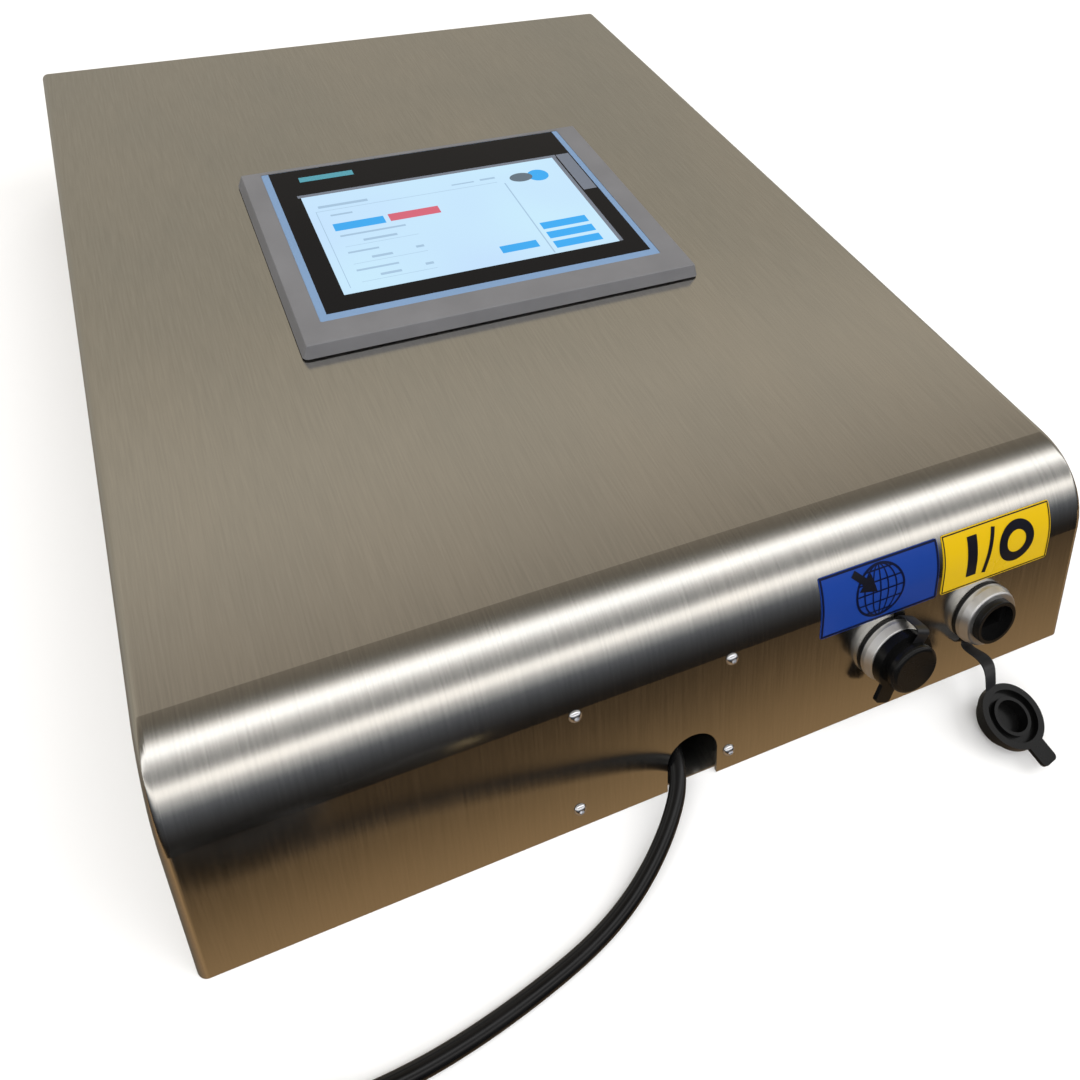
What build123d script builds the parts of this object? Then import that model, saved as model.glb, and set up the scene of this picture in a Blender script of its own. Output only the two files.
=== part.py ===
from build123d import *
import os
from math import cos, degrees, pi, radians, sin, sqrt, tan

# Date code inkjet printer: the wash-down control case that stands beside a packing line.
# Millimetres. The origin is the centre of the case's bottom edge, +Z is up, and -Y is the front
# with the cable notch and the two data ports.

# Case, folded and welded from stainless sheet
WIDTH = 415.0
DEPTH = 552.0
HEIGHT = 86.0
SHEET = 1.5
BEND_RADIUS = 41.0
LEAN = 20.0
EDGE_RADIUS = 4.0
FIT_GAP = 0.3
HAIR = 0.05

# Cable notch in the foot of the front face
NOTCH_X = -2.4
NOTCH_WIDTH = 24.0
NOTCH_TOP = 26.5

# Fixing screws in the front face, round the notch
SCREW_CENTRE_X = -19.7
SCREW_CENTRE_UP = 35.0
SCREW_SPAN_X = 70.5
SCREW_SPAN_UP = 50.0
M3 = 3.0
M3_HOLE = 3.4
M3_HEAD = 5.7
M3_HEAD_HEIGHT = 1.65
M3_NUT = 5.5
M3_NUT_HEIGHT = 2.4

# Base plate, its countersunk screws and its mounting holes
M4 = 4.0
M4_HEAD = 7.6
M4_LENGTH = 7.0
TAB = 16.0
TAB_HEIGHT = 8.0
BASE_HOLE = 5.5
BASE_HOLES_X = 300.0
BASE_HOLES_Y = 400.0
FLANGE_HEIGHT = 20.0

# Operator panel
PANEL_X = -1.0
PANEL_Y = 19.9
PANEL_WIDTH = 218.0
PANEL_DEPTH = 161.5
PANEL_HEIGHT = 6.6
PANEL_CORNER = 3.0
PANEL_DRAFT = 20.0
CUTOUT_WIDTH = 197.0
CUTOUT_DEPTH = 141.0
CUTOUT_GAP = 2.0
SEAL = 1.0
SEAL_MARGIN = 3.0
GLASS_LEFT = 13.1
GLASS_RIGHT = 15.3
GLASS_FRONT = 17.4
GLASS_BACK = 5.4
GLASS = 1.1
SCREEN_WIDTH = 165.0
SCREEN_DEPTH = 104.0
SCREEN_HEIGHT = 6.0
SCREEN_Y = -0.4
HOUSING_DEPTH = 41.0
HOUSING_WALL = 2.0
CLAMP_OUT = 10.0
CLAMP_WIDTH = 12.0
CLAMP_HEIGHT = 12.0
CLAMP_SPAN = 90.0

# Data ports and their rubber caps
PORT_UP = 34.5
NETWORK_X = 97.0
IO_X = 150.5
PORT_THREAD = 21.8
PORT_THREAD_GAP = 0.5
PORT_HOLE = PORT_THREAD + PORT_THREAD_GAP
PORT_SHOULDER = 0.1
PORT_FRONT = PORT_HOLE + PORT_SHOULDER
PORT_STAND = 10.0
PORT_RECESS = 18.6
PORT_FLOOR = 6.0
PORT_REAR = 20.0
MOUTH_WIDTH = 12.0
MOUTH_HEIGHT = 8.0
COLLAR_FOOT = 30.6
COLLAR_FACE = 28.0
COLLAR_HEIGHT = 7.0
STRAP_RING = 1.2
STRAP_WIDTH = 7.0
STRAP_THICKNESS = 1.6
CAP_RIM = 28.6
CAP_RIM_HEIGHT = 4.2
CAP_NECK = 22.0
CAP_END = 24.0
CAP_HEIGHT = 10.5
CAP_CAVITY = 3.1
CAP_PLUG = 17.0
CAP_PLUG_WALL = 1.5
CAP_PLUG_HEIGHT = 2.6
CAP_POCKET = 7.0
CAP_GAP = 0.3
TAB_LENGTH = 8.5
TAB_WIDTH = 8.5
HINGE_DOWN = 2.0
HINGE_OUT = 9.0
IO_STRAP_TURN = 22.0
NETWORK_STRAP_TURN = 202.0
IO_CAP_DROP = 29.5
IO_CAP_LEAN = 15.0
IO_CAP_TURN = -12.0
IO_CAP_SIDE = -8.0

# Adhesive labels, which run up onto the bend
LABEL_WIDTH = 62.5
LABEL_HEIGHT = 29.4
LABEL_FOOT = 52.8
LABEL = 0.25
NETWORK_LABEL_X = 90.5
IO_LABEL_X = 155.4

# Mains inlet: bracket, cable gland and lead
GLAND_X = -7.0
GLAND_UP = 13.0
GLAND_BACK = 67.0
GLAND_THREAD = 15.0
GLAND_HEX = 19.0
GLAND_FLANGE = 5.0
GLAND_NUT = 10.0
LOCKNUT = 4.0
RELIEF_LENGTH = 22.0
RELIEF_ROOT = 14.0
RELIEF_TIP = 9.6
BRACKET_HEIGHT = 38.0
BRACKET_LEFT = 16.0
BRACKET_RIGHT = 12.6
CABLE = 7.0
CABLE_GAP = 0.1

# Lead's coil, put away beside the front of the case
COIL_X = -190.0
COIL_Y = -374.5
COIL_OUTER = 95.0
COIL_INNER = 51.0
COIL_HEIGHT = 21.4
COIL_SPARE = 0.18
COIL_STUB = sqrt(COIL_OUTER * CABLE - CABLE * CABLE) + COIL_SPARE
TIE = 1.0
TIE_WIDTH = 14.0
PLUG_LENGTH = 38.0
PLUG_FACE = 37.0
PLUG_NECK = 17.0
PLUG_PIN = 4.8
PLUG_PIN_LENGTH = 19.0
PLUG_PIN_SPACING = 19.0
PLUG_RELIEF = 26.0

# Electrical fit inside
RAIL_IN = 57.0
RAIL_SPACE = 44.5
RAIL_LENGTH = 130.0
RAIL_WIDTH = 35.0
RAIL_HEIGHT = 7.5
TERMINALS = 8
TERMINAL_PITCH = 5.2
TERMINAL_WIDTH = 50.0
TERMINAL_HEIGHT = 38.0
SUPPLY_IN = 77.0
SUPPLY_BACK = 112.0
SUPPLY_WIDTH = 98.0
SUPPLY_LENGTH = 129.0
SUPPLY_HEIGHT = 38.0
BOARD_IN = 97.0
BOARD_BACK = 112.0
BOARD_WIDTH = 150.0
BOARD_DEPTH = 105.0
BOARD = 1.6
STANDOFF = 10.0
SOCKET_X = 112.0
SOCKET_UP = 48.0
SOCKET_HOLE = 22.3
SOCKET_FLANGE = 30.0
SOCKET_OUT = 11.0
SOCKET_IN = 16.0
LEAD = 5.5
CORE = 2.2

# The front face's own plane: local X along the case, local Y up the slope, local Z outwards
FACE = Plane(origin=(0, -DEPTH / 2, 0), x_dir=(1, 0, 0), z_dir=(0, -cos(radians(LEAN)), sin(radians(LEAN))))
BEND_UP = HEIGHT - BEND_RADIUS
BEND_Y = -DEPTH / 2 + (BEND_RADIUS + BEND_UP * sin(radians(LEAN))) / cos(radians(LEAN))
FACE_LENGTH = (BEND_UP + BEND_RADIUS * sin(radians(LEAN))) / cos(radians(LEAN))
BASE_TOP = SHEET
RAIL_Y = DEPTH / 2 - SUPPLY_BACK - SUPPLY_LENGTH / 2 - RAIL_SPACE - RAIL_LENGTH / 2
TOP = HEIGHT + SEAL + PANEL_HEIGHT


def save(name, shape):
    """Write one piece, or one group of like pieces, as its own file."""
    os.makedirs("parts", exist_ok=True)
    export_step(shape, f"parts/{name}.step")


def box(low, high):
    """A block from its lowest to its highest corner."""
    size = [b - a for a, b in zip(low, high)]
    middle = [(a + b) / 2 for a, b in zip(low, high)]
    return Pos(*middle) * Box(*size)


def rod(plane, x, y, start, end, diameter):
    """A round bar along a plane's normal, from one height above it to another."""
    middle = Pos(x, y, (start + end) / 2)
    return plane * middle * Cylinder(diameter / 2, end - start)


def hex_bar(plane, x, y, start, end, across_flats):
    """A hexagonal bar along a plane's normal."""
    outline = Pos(x, y, start) * RegularPolygon(across_flats / 2, 6, major_radius=False, rotation=30)
    return extrude(plane * outline, end - start)


def case_outline(inset, foot):
    """The case's side outline, moved inwards by inset and cut off level at the height foot."""
    slope = radians(LEAN)
    radius = BEND_RADIUS - inset
    face_foot = (-DEPTH / 2 + inset / cos(slope) + foot * tan(slope), foot)
    face_top = (BEND_Y - radius * cos(slope), BEND_UP + radius * sin(slope))
    crown = (BEND_Y, HEIGHT - inset)
    back_top = (DEPTH / 2 - inset, HEIGHT - inset)
    back_foot = (DEPTH / 2 - inset, foot)
    lines = Line(face_foot, face_top)
    lines += RadiusArc(face_top, crown, radius)
    lines += Polyline(crown, back_top, back_foot, face_foot)
    return Plane.YZ * make_face(lines)


def case_block(inset, foot):
    """The case's solid shape, moved inwards by inset, with its side edges rounded."""
    half = WIDTH / 2 - inset
    block = extrude(case_outline(inset, foot), half, both=True)
    ends = [e for e in block.edges() if abs(abs(e.center().X) - half) < HAIR]
    round_off = [e for e in ends if e.bounding_box().max.Z > foot + HAIR]
    back = block.edges().filter_by(Axis.X).group_by(Axis.Z)[-1].sort_by(Axis.Y)[-1]
    return fillet([*round_off, back], EDGE_RADIUS - inset)


def front_screw_places():
    """The four screws round the notch, in the front face's plane."""
    across = (-SCREW_SPAN_X / 2, SCREW_SPAN_X / 2)
    up = (-SCREW_SPAN_UP / 2, SCREW_SPAN_UP / 2)
    return [(SCREW_CENTRE_X + x, SCREW_CENTRE_UP + y) for x in across for y in up]


def base_screw_places():
    """The four countersunk screws that hold the base plate to the case's corner tabs."""
    across = WIDTH / 2 - SHEET - TAB / 2 - 1
    along = DEPTH / 2 - SHEET - TAB / 2 - 1
    front = -DEPTH / 2 + 28
    return [(x, y) for x in (-across, across) for y in (front, along)]


def notch(width, top, depth):
    """An arch that is open at the foot of the front face, cut both ways from its outer side."""
    arch = Pos(NOTCH_X, top - width / 2) * Circle(width / 2)
    arch += Pos(NOTCH_X, (top - width / 2) / 2 - 5) * Rectangle(width, top - width / 2 + 10)
    return extrude(FACE * arch, depth, both=True)


def hood():
    """One welded stainless shell, open underneath, with four tapped tabs inside its corners."""
    shell = case_block(0, 0) - case_block(SHEET, 0)
    shell -= Pos(PANEL_X, PANEL_Y, HEIGHT) * Box(CUTOUT_WIDTH, CUTOUT_DEPTH, 4 * SHEET)
    for x in (NETWORK_X, IO_X):
        shell -= rod(FACE, x, PORT_UP, -3 * SHEET, SHEET, PORT_HOLE)
    for x, up in front_screw_places():
        shell -= rod(FACE, x, up, -3 * SHEET, SHEET, M3_HOLE)
    shell -= notch(NOTCH_WIDTH, NOTCH_TOP, 3 * SHEET)
    rear = Plane(origin=(0, DEPTH / 2, 0), x_dir=(-1, 0, 0), z_dir=(0, 1, 0))
    shell -= rod(rear, -SOCKET_X, SOCKET_UP, -2 * SHEET, SHEET, SOCKET_HOLE)
    for x, y in base_screw_places():
        side = 1 if x > 0 else -1
        reach = WIDTH / 2 - SHEET / 2
        low = (min(side * reach, x - side * TAB / 2), y - TAB / 2, BASE_TOP)
        high = (max(side * reach, x - side * TAB / 2), y + TAB / 2, BASE_TOP + TAB_HEIGHT)
        shell += box(low, high)
        shell -= rod(Plane.XY, x, y, 0, M4_LENGTH + 0.5, M4 + 2 * HAIR)
    return shell


def base_plate():
    """A folded stainless tray that closes the case from below."""
    half = WIDTH / 2 - SHEET - FIT_GAP
    front = -DEPTH / 2 + (SHEET + FIT_GAP) / cos(radians(LEAN)) + SHEET * tan(radians(LEAN))
    back = DEPTH / 2 - SHEET - FIT_GAP
    plate = box((-half, front, 0), (half, back, SHEET))
    plate = fillet(plate.edges().filter_by(Axis.Z), EDGE_RADIUS)
    screw_front = base_screw_places()[0][1]
    screw_back = base_screw_places()[1][1]
    for side in (-1, 1):
        low = (side * (half - SHEET / 2) - SHEET / 2, screw_front + TAB, SHEET / 2)
        high = (side * (half - SHEET / 2) + SHEET / 2, screw_back - TAB, FLANGE_HEIGHT)
        plate += box(low, high)
    for x in (-BASE_HOLES_X / 2, BASE_HOLES_X / 2):
        for y in (-BASE_HOLES_Y / 2, BASE_HOLES_Y / 2):
            plate -= rod(Plane.XY, x, y, -SHEET, 2 * SHEET, BASE_HOLE)
    for x, y in base_screw_places():
        plate -= Pos(x, y, SHEET / 2) * Cone(M4_HEAD / 2, M4_HEAD / 2 - SHEET, SHEET)
    return plate


def base_screws():
    """Four countersunk screws, flush with the underside."""
    screws = []
    for x, y in base_screw_places():
        head = Pos(x, y, SHEET / 2) * Cone(M4_HEAD / 2, M4_HEAD / 2 - SHEET, SHEET)
        socket = Pos(x, y, 0.4) * Box(4.0, 0.9, 0.8)
        socket += Pos(x, y, 0.4) * Box(0.9, 4.0, 0.8)
        screws.append(head + rod(Plane.XY, x, y, SHEET / 2, M4_LENGTH, M4) - socket)
    return Compound(screws)


def front_screws():
    """Four dome-head screws through the front face, with a hexagon socket each."""
    screws = []
    stack = 2 * SHEET + M3_NUT_HEIGHT + 1
    for x, up in front_screw_places():
        shank = rod(FACE, x, up, -stack, 0.2, M3)
        dome_radius = (M3_HEAD**2 / 4 + M3_HEAD_HEIGHT**2) / (2 * M3_HEAD_HEIGHT)
        dome = Pos(0, 0, M3_HEAD_HEIGHT - dome_radius) * Sphere(dome_radius)
        dome &= Pos(0, 0, M3_HEAD_HEIGHT / 2) * Box(M3_HEAD, M3_HEAD, M3_HEAD_HEIGHT)
        screw = shank + FACE * Pos(x, up, 0) * dome
        screws.append(screw - hex_bar(FACE, x, up, 0.6, M3_HEAD_HEIGHT + 1, 2.0))
    return Compound(screws)


def front_nuts():
    """Four plain hexagon nuts behind the gland bracket."""
    nuts = []
    top = -2 * SHEET
    for x, up in front_screw_places():
        nut = hex_bar(FACE, x, up, top - M3_NUT_HEIGHT, top, M3_NUT)
        nuts.append(nut - rod(FACE, x, up, top - 2 * M3_NUT_HEIGHT, top + 1, M3 + 2 * HAIR))
    return Compound(nuts)


def gland_plane():
    """Front side of the plate that the gland is screwed into, looking out of the case."""
    return Plane(origin=(0, -DEPTH / 2 + GLAND_BACK, 0), x_dir=(1, 0, 0), z_dir=(0, -1, 0))


def gland_bracket():
    """A welded sheet box behind the notch, which sets the cable gland back into the case."""
    left = SCREW_CENTRE_X - SCREW_SPAN_X / 2 - 7
    right = SCREW_CENTRE_X + SCREW_SPAN_X / 2 + 7
    front_plate = Pos((left + right) / 2, (5 + FACE_LENGTH) / 2, -1.5 * SHEET)
    bracket = FACE * front_plate * Box(right - left, FACE_LENGTH - 5, SHEET)
    slope = radians(LEAN)
    bracket -= notch(2 * BRACKET_RIGHT, BRACKET_HEIGHT - 5, 3 * SHEET)
    lowest = BASE_TOP + FIT_GAP
    inner = -DEPTH / 2 + 1.8 * SHEET / cos(slope)
    gland_y = gland_plane().origin.Y
    side = Polyline(
        (inner + lowest * tan(slope), lowest),
        (inner + BRACKET_HEIGHT * tan(slope), BRACKET_HEIGHT),
        (gland_y + SHEET, BRACKET_HEIGHT),
        (gland_y + SHEET, lowest),
        close=True,
    )
    cheek = extrude(Plane.YZ * make_face(side), SHEET)
    bracket += Pos(NOTCH_X + BRACKET_RIGHT, 0, 0) * cheek
    bracket += Pos(NOTCH_X - BRACKET_LEFT - SHEET, 0, 0) * cheek
    low = (NOTCH_X - BRACKET_LEFT - SHEET, gland_y, lowest)
    bracket += box(low, (NOTCH_X + BRACKET_RIGHT + SHEET, gland_y + SHEET, BRACKET_HEIGHT))
    bracket -= rod(gland_plane(), GLAND_X, GLAND_UP, -2 * SHEET, SHEET, GLAND_THREAD + 0.4)
    for x, up in front_screw_places():
        bracket -= rod(FACE, x, up, -3 * SHEET, SHEET, M3_HOLE)
    return bracket


def gland_body():
    """The gland's flanged, threaded barrel."""
    plane = gland_plane()
    body = hex_bar(plane, GLAND_X, GLAND_UP, 0, GLAND_FLANGE, GLAND_HEX)
    body += rod(plane, GLAND_X, GLAND_UP, -SHEET - LOCKNUT - 1, GLAND_FLANGE + GLAND_NUT - 2, GLAND_THREAD)
    return body - rod(plane, GLAND_X, GLAND_UP, -20, 30, CABLE + 2 * CABLE_GAP)


def gland_nut():
    """The domed clamping nut that squeezes the seal onto the cable."""
    plane = gland_plane()
    start = GLAND_FLANGE + 0.2
    end = GLAND_FLANGE + GLAND_NUT
    nut = hex_bar(plane, GLAND_X, GLAND_UP, start, end, GLAND_HEX - 1)
    bore = rod(plane, GLAND_X, GLAND_UP, 0, end - 1.8, GLAND_THREAD + 0.1)
    return nut - bore - rod(plane, GLAND_X, GLAND_UP, 0, 30, CABLE + 2 * CABLE_GAP)


def gland_locknut():
    """The thin nut behind the bracket."""
    plane = gland_plane()
    nut = hex_bar(plane, GLAND_X, GLAND_UP, -SHEET - LOCKNUT, -SHEET, GLAND_HEX)
    return nut - rod(plane, GLAND_X, GLAND_UP, -20, 0, GLAND_THREAD + 0.1)


def strain_relief():
    """A ribbed, tapered rubber sleeve that keeps the lead from kinking at the gland."""
    start = GLAND_FLANGE + GLAND_NUT
    sleeve = Pos(GLAND_X, GLAND_UP, start + RELIEF_LENGTH / 2) * Cone(
        RELIEF_ROOT / 2, RELIEF_TIP / 2, RELIEF_LENGTH
    )
    for rib in range(4):
        groove = Cylinder(RELIEF_ROOT, 1.6) - Cylinder(CABLE / 2 + 1.0, 1.6)
        sleeve -= Pos(GLAND_X, GLAND_UP, start + 5 + 4 * rib) * groove
    return gland_plane() * sleeve - rod(gland_plane(), GLAND_X, GLAND_UP, 0, 60, CABLE + 2 * CABLE_GAP)


def relief_end():
    """Where the lead leaves its strain relief."""
    return (GLAND_X, gland_plane().origin.Y - GLAND_FLANGE - GLAND_NUT - RELIEF_LENGTH, GLAND_UP)


def corner_radii(points):
    """The largest even arc at each corner of a route, for the shorter of the two runs there."""
    corners = [Vector(*p) for p in points]
    runs = [b - a for a, b in zip(corners, corners[1:])]
    pairs = list(zip(runs, runs[1:]))
    return [0.45 * min(a.length, b.length) / tan(radians(a.get_angle(b) / 2)) for a, b in pairs]


def lead(points, diameter):
    """A round lead along straight runs joined by tangent arcs."""
    path = FilletPolyline(*points, radius=corner_radii(points))
    start = Plane(origin=points[0], z_dir=Vector(*points[1]) - Vector(*points[0]))
    return sweep(start * Circle(diameter / 2), path=path), path.length


def mains_route():
    """The lead's way from its strain relief, down to the floor and round to its coil."""
    coil_side = COIL_Y + COIL_OUTER / 2 - CABLE / 2
    floor = CABLE / 2
    return [
        relief_end(),
        (GLAND_X, -257.0, GLAND_UP),
        (-8.8, -269.0, 13.0),
        (-14.2, -280.5, 11.8),
        (-24.0, -291.0, 9.6),
        (-36.5, -301.0, 6.8),
        (-51.5, -310.0, 4.4),
        (-70.0, -317.5, floor),
        (-94.0, -323.5, floor),
        (-120.0, -328.2, floor),
        (-143.5, coil_side, floor),
        (COIL_X + COIL_STUB, coil_side, floor),
    ]


def coil_ring(grow):
    """The coil's outer shape, grown all round by grow, with its underside kept on the floor."""
    width = (COIL_OUTER - COIL_INNER) / 2
    middle = (COIL_OUTER + COIL_INNER) / 4
    section = Pos(middle, (COIL_HEIGHT + grow) / 2) * Rectangle(width + 2 * grow, COIL_HEIGHT + grow)
    section = fillet(section.vertices(), CABLE / 2)
    return Pos(COIL_X, COIL_Y, 0) * revolve(Plane.XZ * section, Axis.Z)


def tie_sector(y_side):
    """The short stretch of the coil that the tie goes round."""
    middle = (COIL_OUTER + COIL_INNER) / 4
    return Pos(COIL_X + y_side * middle, COIL_Y, 0) * Box(2 * middle, TIE_WIDTH, 4 * COIL_HEIGHT)


def coil_upper_side():
    """Where the lead leaves the coil's top layer for its plug."""
    return (COIL_X, COIL_Y - COIL_OUTER / 2 + CABLE / 2, COIL_HEIGHT - CABLE / 2)


def coil():
    """The stowed turns as one solid, with a short straight end at each side."""
    ring = coil_ring(0)
    entry = mains_route()[-1]
    ring += Plane(origin=(COIL_X, entry[1], entry[2]), z_dir=(1, 0, 0)) * Pos(0, 0, COIL_STUB / 2) * Cylinder(
        CABLE / 2, COIL_STUB
    )
    ring += Plane(origin=coil_upper_side(), z_dir=(1, 0, 0)) * Pos(0, 0, COIL_STUB / 2) * Cylinder(
        CABLE / 2, COIL_STUB
    )
    return ring - tie()


def tie():
    """A hook-and-loop band round the coil."""
    band = coil_ring(TIE) & tie_sector(-1)
    hole = Pos(0, 0, TIE) * coil_ring(0)
    return band - hole


def plug_plane():
    """The plug's own plane: its normal runs from the lead to the pins."""
    x, y, z = coil_upper_side()
    return Plane(origin=(x + COIL_STUB + 22, y, PLUG_FACE / 2), x_dir=(0, 1, 0), z_dir=(1, 0, 0))


def plug_lead_route():
    """The short end between the coil and the plug."""
    x, y, z = coil_upper_side()
    end = plug_plane().origin
    return [(x + COIL_STUB, y, z), (x + COIL_STUB + 6, y, z), (end.X - 6, y, end.Z), (end.X, y, end.Z)]


def plug_relief():
    """The plug's tapered, ribbed neck."""
    neck = Pos(0, 0, PLUG_RELIEF / 2) * Cone(RELIEF_TIP / 2, PLUG_NECK / 2, PLUG_RELIEF)
    for rib in range(4):
        groove = Cylinder(PLUG_NECK, 1.6) - Cylinder(CABLE / 2 + 1.2, 1.6)
        neck -= Pos(0, 0, 4 + 4.5 * rib) * groove
    return plug_plane() * neck


def plug_body():
    """A round two-pole-and-earth plug body with a waisted grip."""
    outline = Polyline(
        (0, 0), (PLUG_NECK / 2, 0), (PLUG_NECK / 2 + 2, 4), (PLUG_FACE / 2 - 2, 20), (PLUG_FACE / 2, 24),
        (PLUG_FACE / 2, PLUG_LENGTH), (0, PLUG_LENGTH), close=True,
    )
    body = revolve(Plane.XZ * make_face(outline), Axis.Z)
    for side in (-1, 1):
        body -= Pos(0, side * PLUG_FACE / 2, PLUG_LENGTH - 6) * Box(6, 5, 20)
    return plug_plane() * Pos(0, 0, PLUG_RELIEF) * body


def plug_pins():
    """Two round pins."""
    pins = []
    start = PLUG_RELIEF + PLUG_LENGTH
    for side in (-1, 1):
        pin = rod(plug_plane(), side * PLUG_PIN_SPACING / 2, 0, start, start + PLUG_PIN_LENGTH, PLUG_PIN)
        pins.append(chamfer(pin.edges().sort_by(Axis.X)[-1], 0.8))
    return Compound(pins)


def panel_plate(left, right, front, back, low, high, corner):
    """A flat plate that lies inside the operator panel's edge by the four given margins."""
    x0 = PANEL_X - PANEL_WIDTH / 2 + left
    x1 = PANEL_X + PANEL_WIDTH / 2 - right
    y0 = PANEL_Y - PANEL_DEPTH / 2 + front
    y1 = PANEL_Y + PANEL_DEPTH / 2 - back
    plate = box((x0, y0, low), (x1, y1, high))
    return fillet(plate.edges().filter_by(Axis.Z), corner)


def panel_screen(extra, low, high):
    """The display module's block, or its window when extra is more than nothing."""
    centre = Pos(PANEL_X + (GLASS_LEFT - GLASS_RIGHT) / 2, PANEL_Y + SCREEN_Y, (low + high) / 2)
    return centre * Box(SCREEN_WIDTH + extra, SCREEN_DEPTH + extra, high - low)


def panel_glass(extra, low, high):
    """The front film and glass, set flush into the bezel."""
    margins = (GLASS_LEFT - extra, GLASS_RIGHT - extra, GLASS_FRONT - extra, GLASS_BACK - extra)
    return panel_plate(*margins, low, high, 1.0)


def panel_bezel():
    """A moulded grey frame whose sides lean in towards its face."""
    outline = RectangleRounded(PANEL_WIDTH, PANEL_DEPTH, PANEL_CORNER)
    bezel = extrude(Pos(PANEL_X, PANEL_Y, HEIGHT + SEAL) * outline, PANEL_HEIGHT, taper=PANEL_DRAFT)
    bezel = fillet(bezel.faces().sort_by(Axis.Z)[-1].outer_wire().edges(), 0.8)
    bezel -= panel_glass(0, TOP - GLASS, TOP + 1)
    return bezel - panel_screen(2, HEIGHT, TOP)


def panel_seal():
    """The foam gasket between the bezel and the case."""
    outer = Pos(PANEL_X, PANEL_Y, HEIGHT + SEAL / 2) * Box(
        PANEL_WIDTH - 2 * SEAL_MARGIN, PANEL_DEPTH - 2 * SEAL_MARGIN, SEAL
    )
    return outer - Pos(PANEL_X, PANEL_Y, HEIGHT) * Box(CUTOUT_WIDTH, CUTOUT_DEPTH, 4 * SEAL)


def panel_housing():
    """The panel's rear box, which hangs through the cut-out."""
    width = CUTOUT_WIDTH - 2 * CUTOUT_GAP
    depth = CUTOUT_DEPTH - 2 * CUTOUT_GAP
    top = HEIGHT + SEAL
    shape = Pos(PANEL_X, PANEL_Y, top - HOUSING_DEPTH / 2)
    housing = shape * Box(width, depth, HOUSING_DEPTH)
    hollow = shape * Pos(0, 0, HOUSING_WALL)
    housing -= hollow * Box(width - 2 * HOUSING_WALL, depth - 2 * HOUSING_WALL, HOUSING_DEPTH)
    for slot in range(12):
        housing -= Pos(PANEL_X - 66 + 12 * slot, PANEL_Y + depth / 2, top - 22) * Box(6, 3 * HOUSING_WALL, 14)
    for x, y in panel_board_posts():
        housing += rod(Plane.XY, x, y, top - HOUSING_DEPTH + 1, panel_board_up(), 6)
    return housing


def panel_board_up():
    """Height of the panel circuit board's underside."""
    return HEIGHT + SEAL - HOUSING_DEPTH + 14


def panel_board_posts():
    """The four posts under the panel's circuit board."""
    across = CUTOUT_WIDTH / 2 - 14
    along = CUTOUT_DEPTH / 2 - 14
    return [(PANEL_X + i * across, PANEL_Y + j * along) for i in (-1, 1) for j in (-1, 1)]


def panel_board():
    """The panel's circuit board with its shielded processor block."""
    up = panel_board_up()
    board = Pos(PANEL_X, PANEL_Y, up + BOARD / 2) * Box(CUTOUT_WIDTH - 20, CUTOUT_DEPTH - 20, BOARD)
    return board + Pos(PANEL_X + 20, PANEL_Y + 10, up + BOARD + 2) * Box(50, 40, 4)


def clamp_places():
    """The four panel clamps: the side, and where along it."""
    return [(side, PANEL_Y + k * CLAMP_SPAN / 2) for side in (-1, 1) for k in (-1, 1)]


def clamp_screw_x(side):
    """A clamp screw's place beside the cut-out."""
    return PANEL_X + side * (CUTOUT_WIDTH / 2 - CUTOUT_GAP + CLAMP_OUT * 0.7)


def panel_clamps():
    """Four hooked blocks on the housing's sides, each tapped for its screw."""
    clamps = []
    for side, y in clamp_places():
        wall = PANEL_X + side * (CUTOUT_WIDTH / 2 - CUTOUT_GAP)
        edge = wall + side * CLAMP_OUT
        top = HEIGHT - SHEET - 7
        low = (min(wall, edge), y - CLAMP_WIDTH / 2, top - CLAMP_HEIGHT)
        high = (max(wall, edge), y + CLAMP_WIDTH / 2, top)
        clamps.append(box(low, high) - rod(Plane.XY, clamp_screw_x(side), y, 0, HEIGHT, M3 + 2 * HAIR))
    return Compound(clamps)


def panel_clamp_screws():
    """Four screws that press up against the underside of the case's top."""
    screws = []
    top = HEIGHT - SHEET
    foot = top - 7 - CLAMP_HEIGHT - 4
    for side, y in clamp_places():
        x = clamp_screw_x(side)
        screw = rod(Plane.XY, x, y, foot, top, M3) + rod(Plane.XY, x, y, foot - 2, foot, M3_HEAD)
        screws.append(screw - Pos(x, y, foot - 2) * Box(4, 0.8, 1.6))
    return Compound(screws)


def panel_plug(x, y, width, depth, height):
    """A plug pushed up into the panel housing's underside."""
    top = HEIGHT + SEAL - HOUSING_DEPTH
    return box((x - width / 2, y - depth / 2, top - height), (x + width / 2, y + depth / 2, top))


def port_collar(x):
    """The port's satin collar, rounded towards its face."""
    outline = Polyline(
        (PORT_FRONT / 2 + HAIR, STRAP_RING),
        (COLLAR_FOOT / 2, STRAP_RING),
        (COLLAR_FOOT / 2, STRAP_RING + 2),
        (COLLAR_FACE / 2, COLLAR_HEIGHT),
        (PORT_FRONT / 2 + HAIR, COLLAR_HEIGHT),
        close=True,
    )
    collar = revolve(Plane.XZ * make_face(outline), Axis.Z)
    rim = [e for e in collar.edges() if abs(e.center().Z - COLLAR_HEIGHT) < HAIR]
    outer = max(rim, key=lambda e: e.length)
    return FACE * Pos(x, PORT_UP, 0) * fillet(outer, 1.2)


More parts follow.
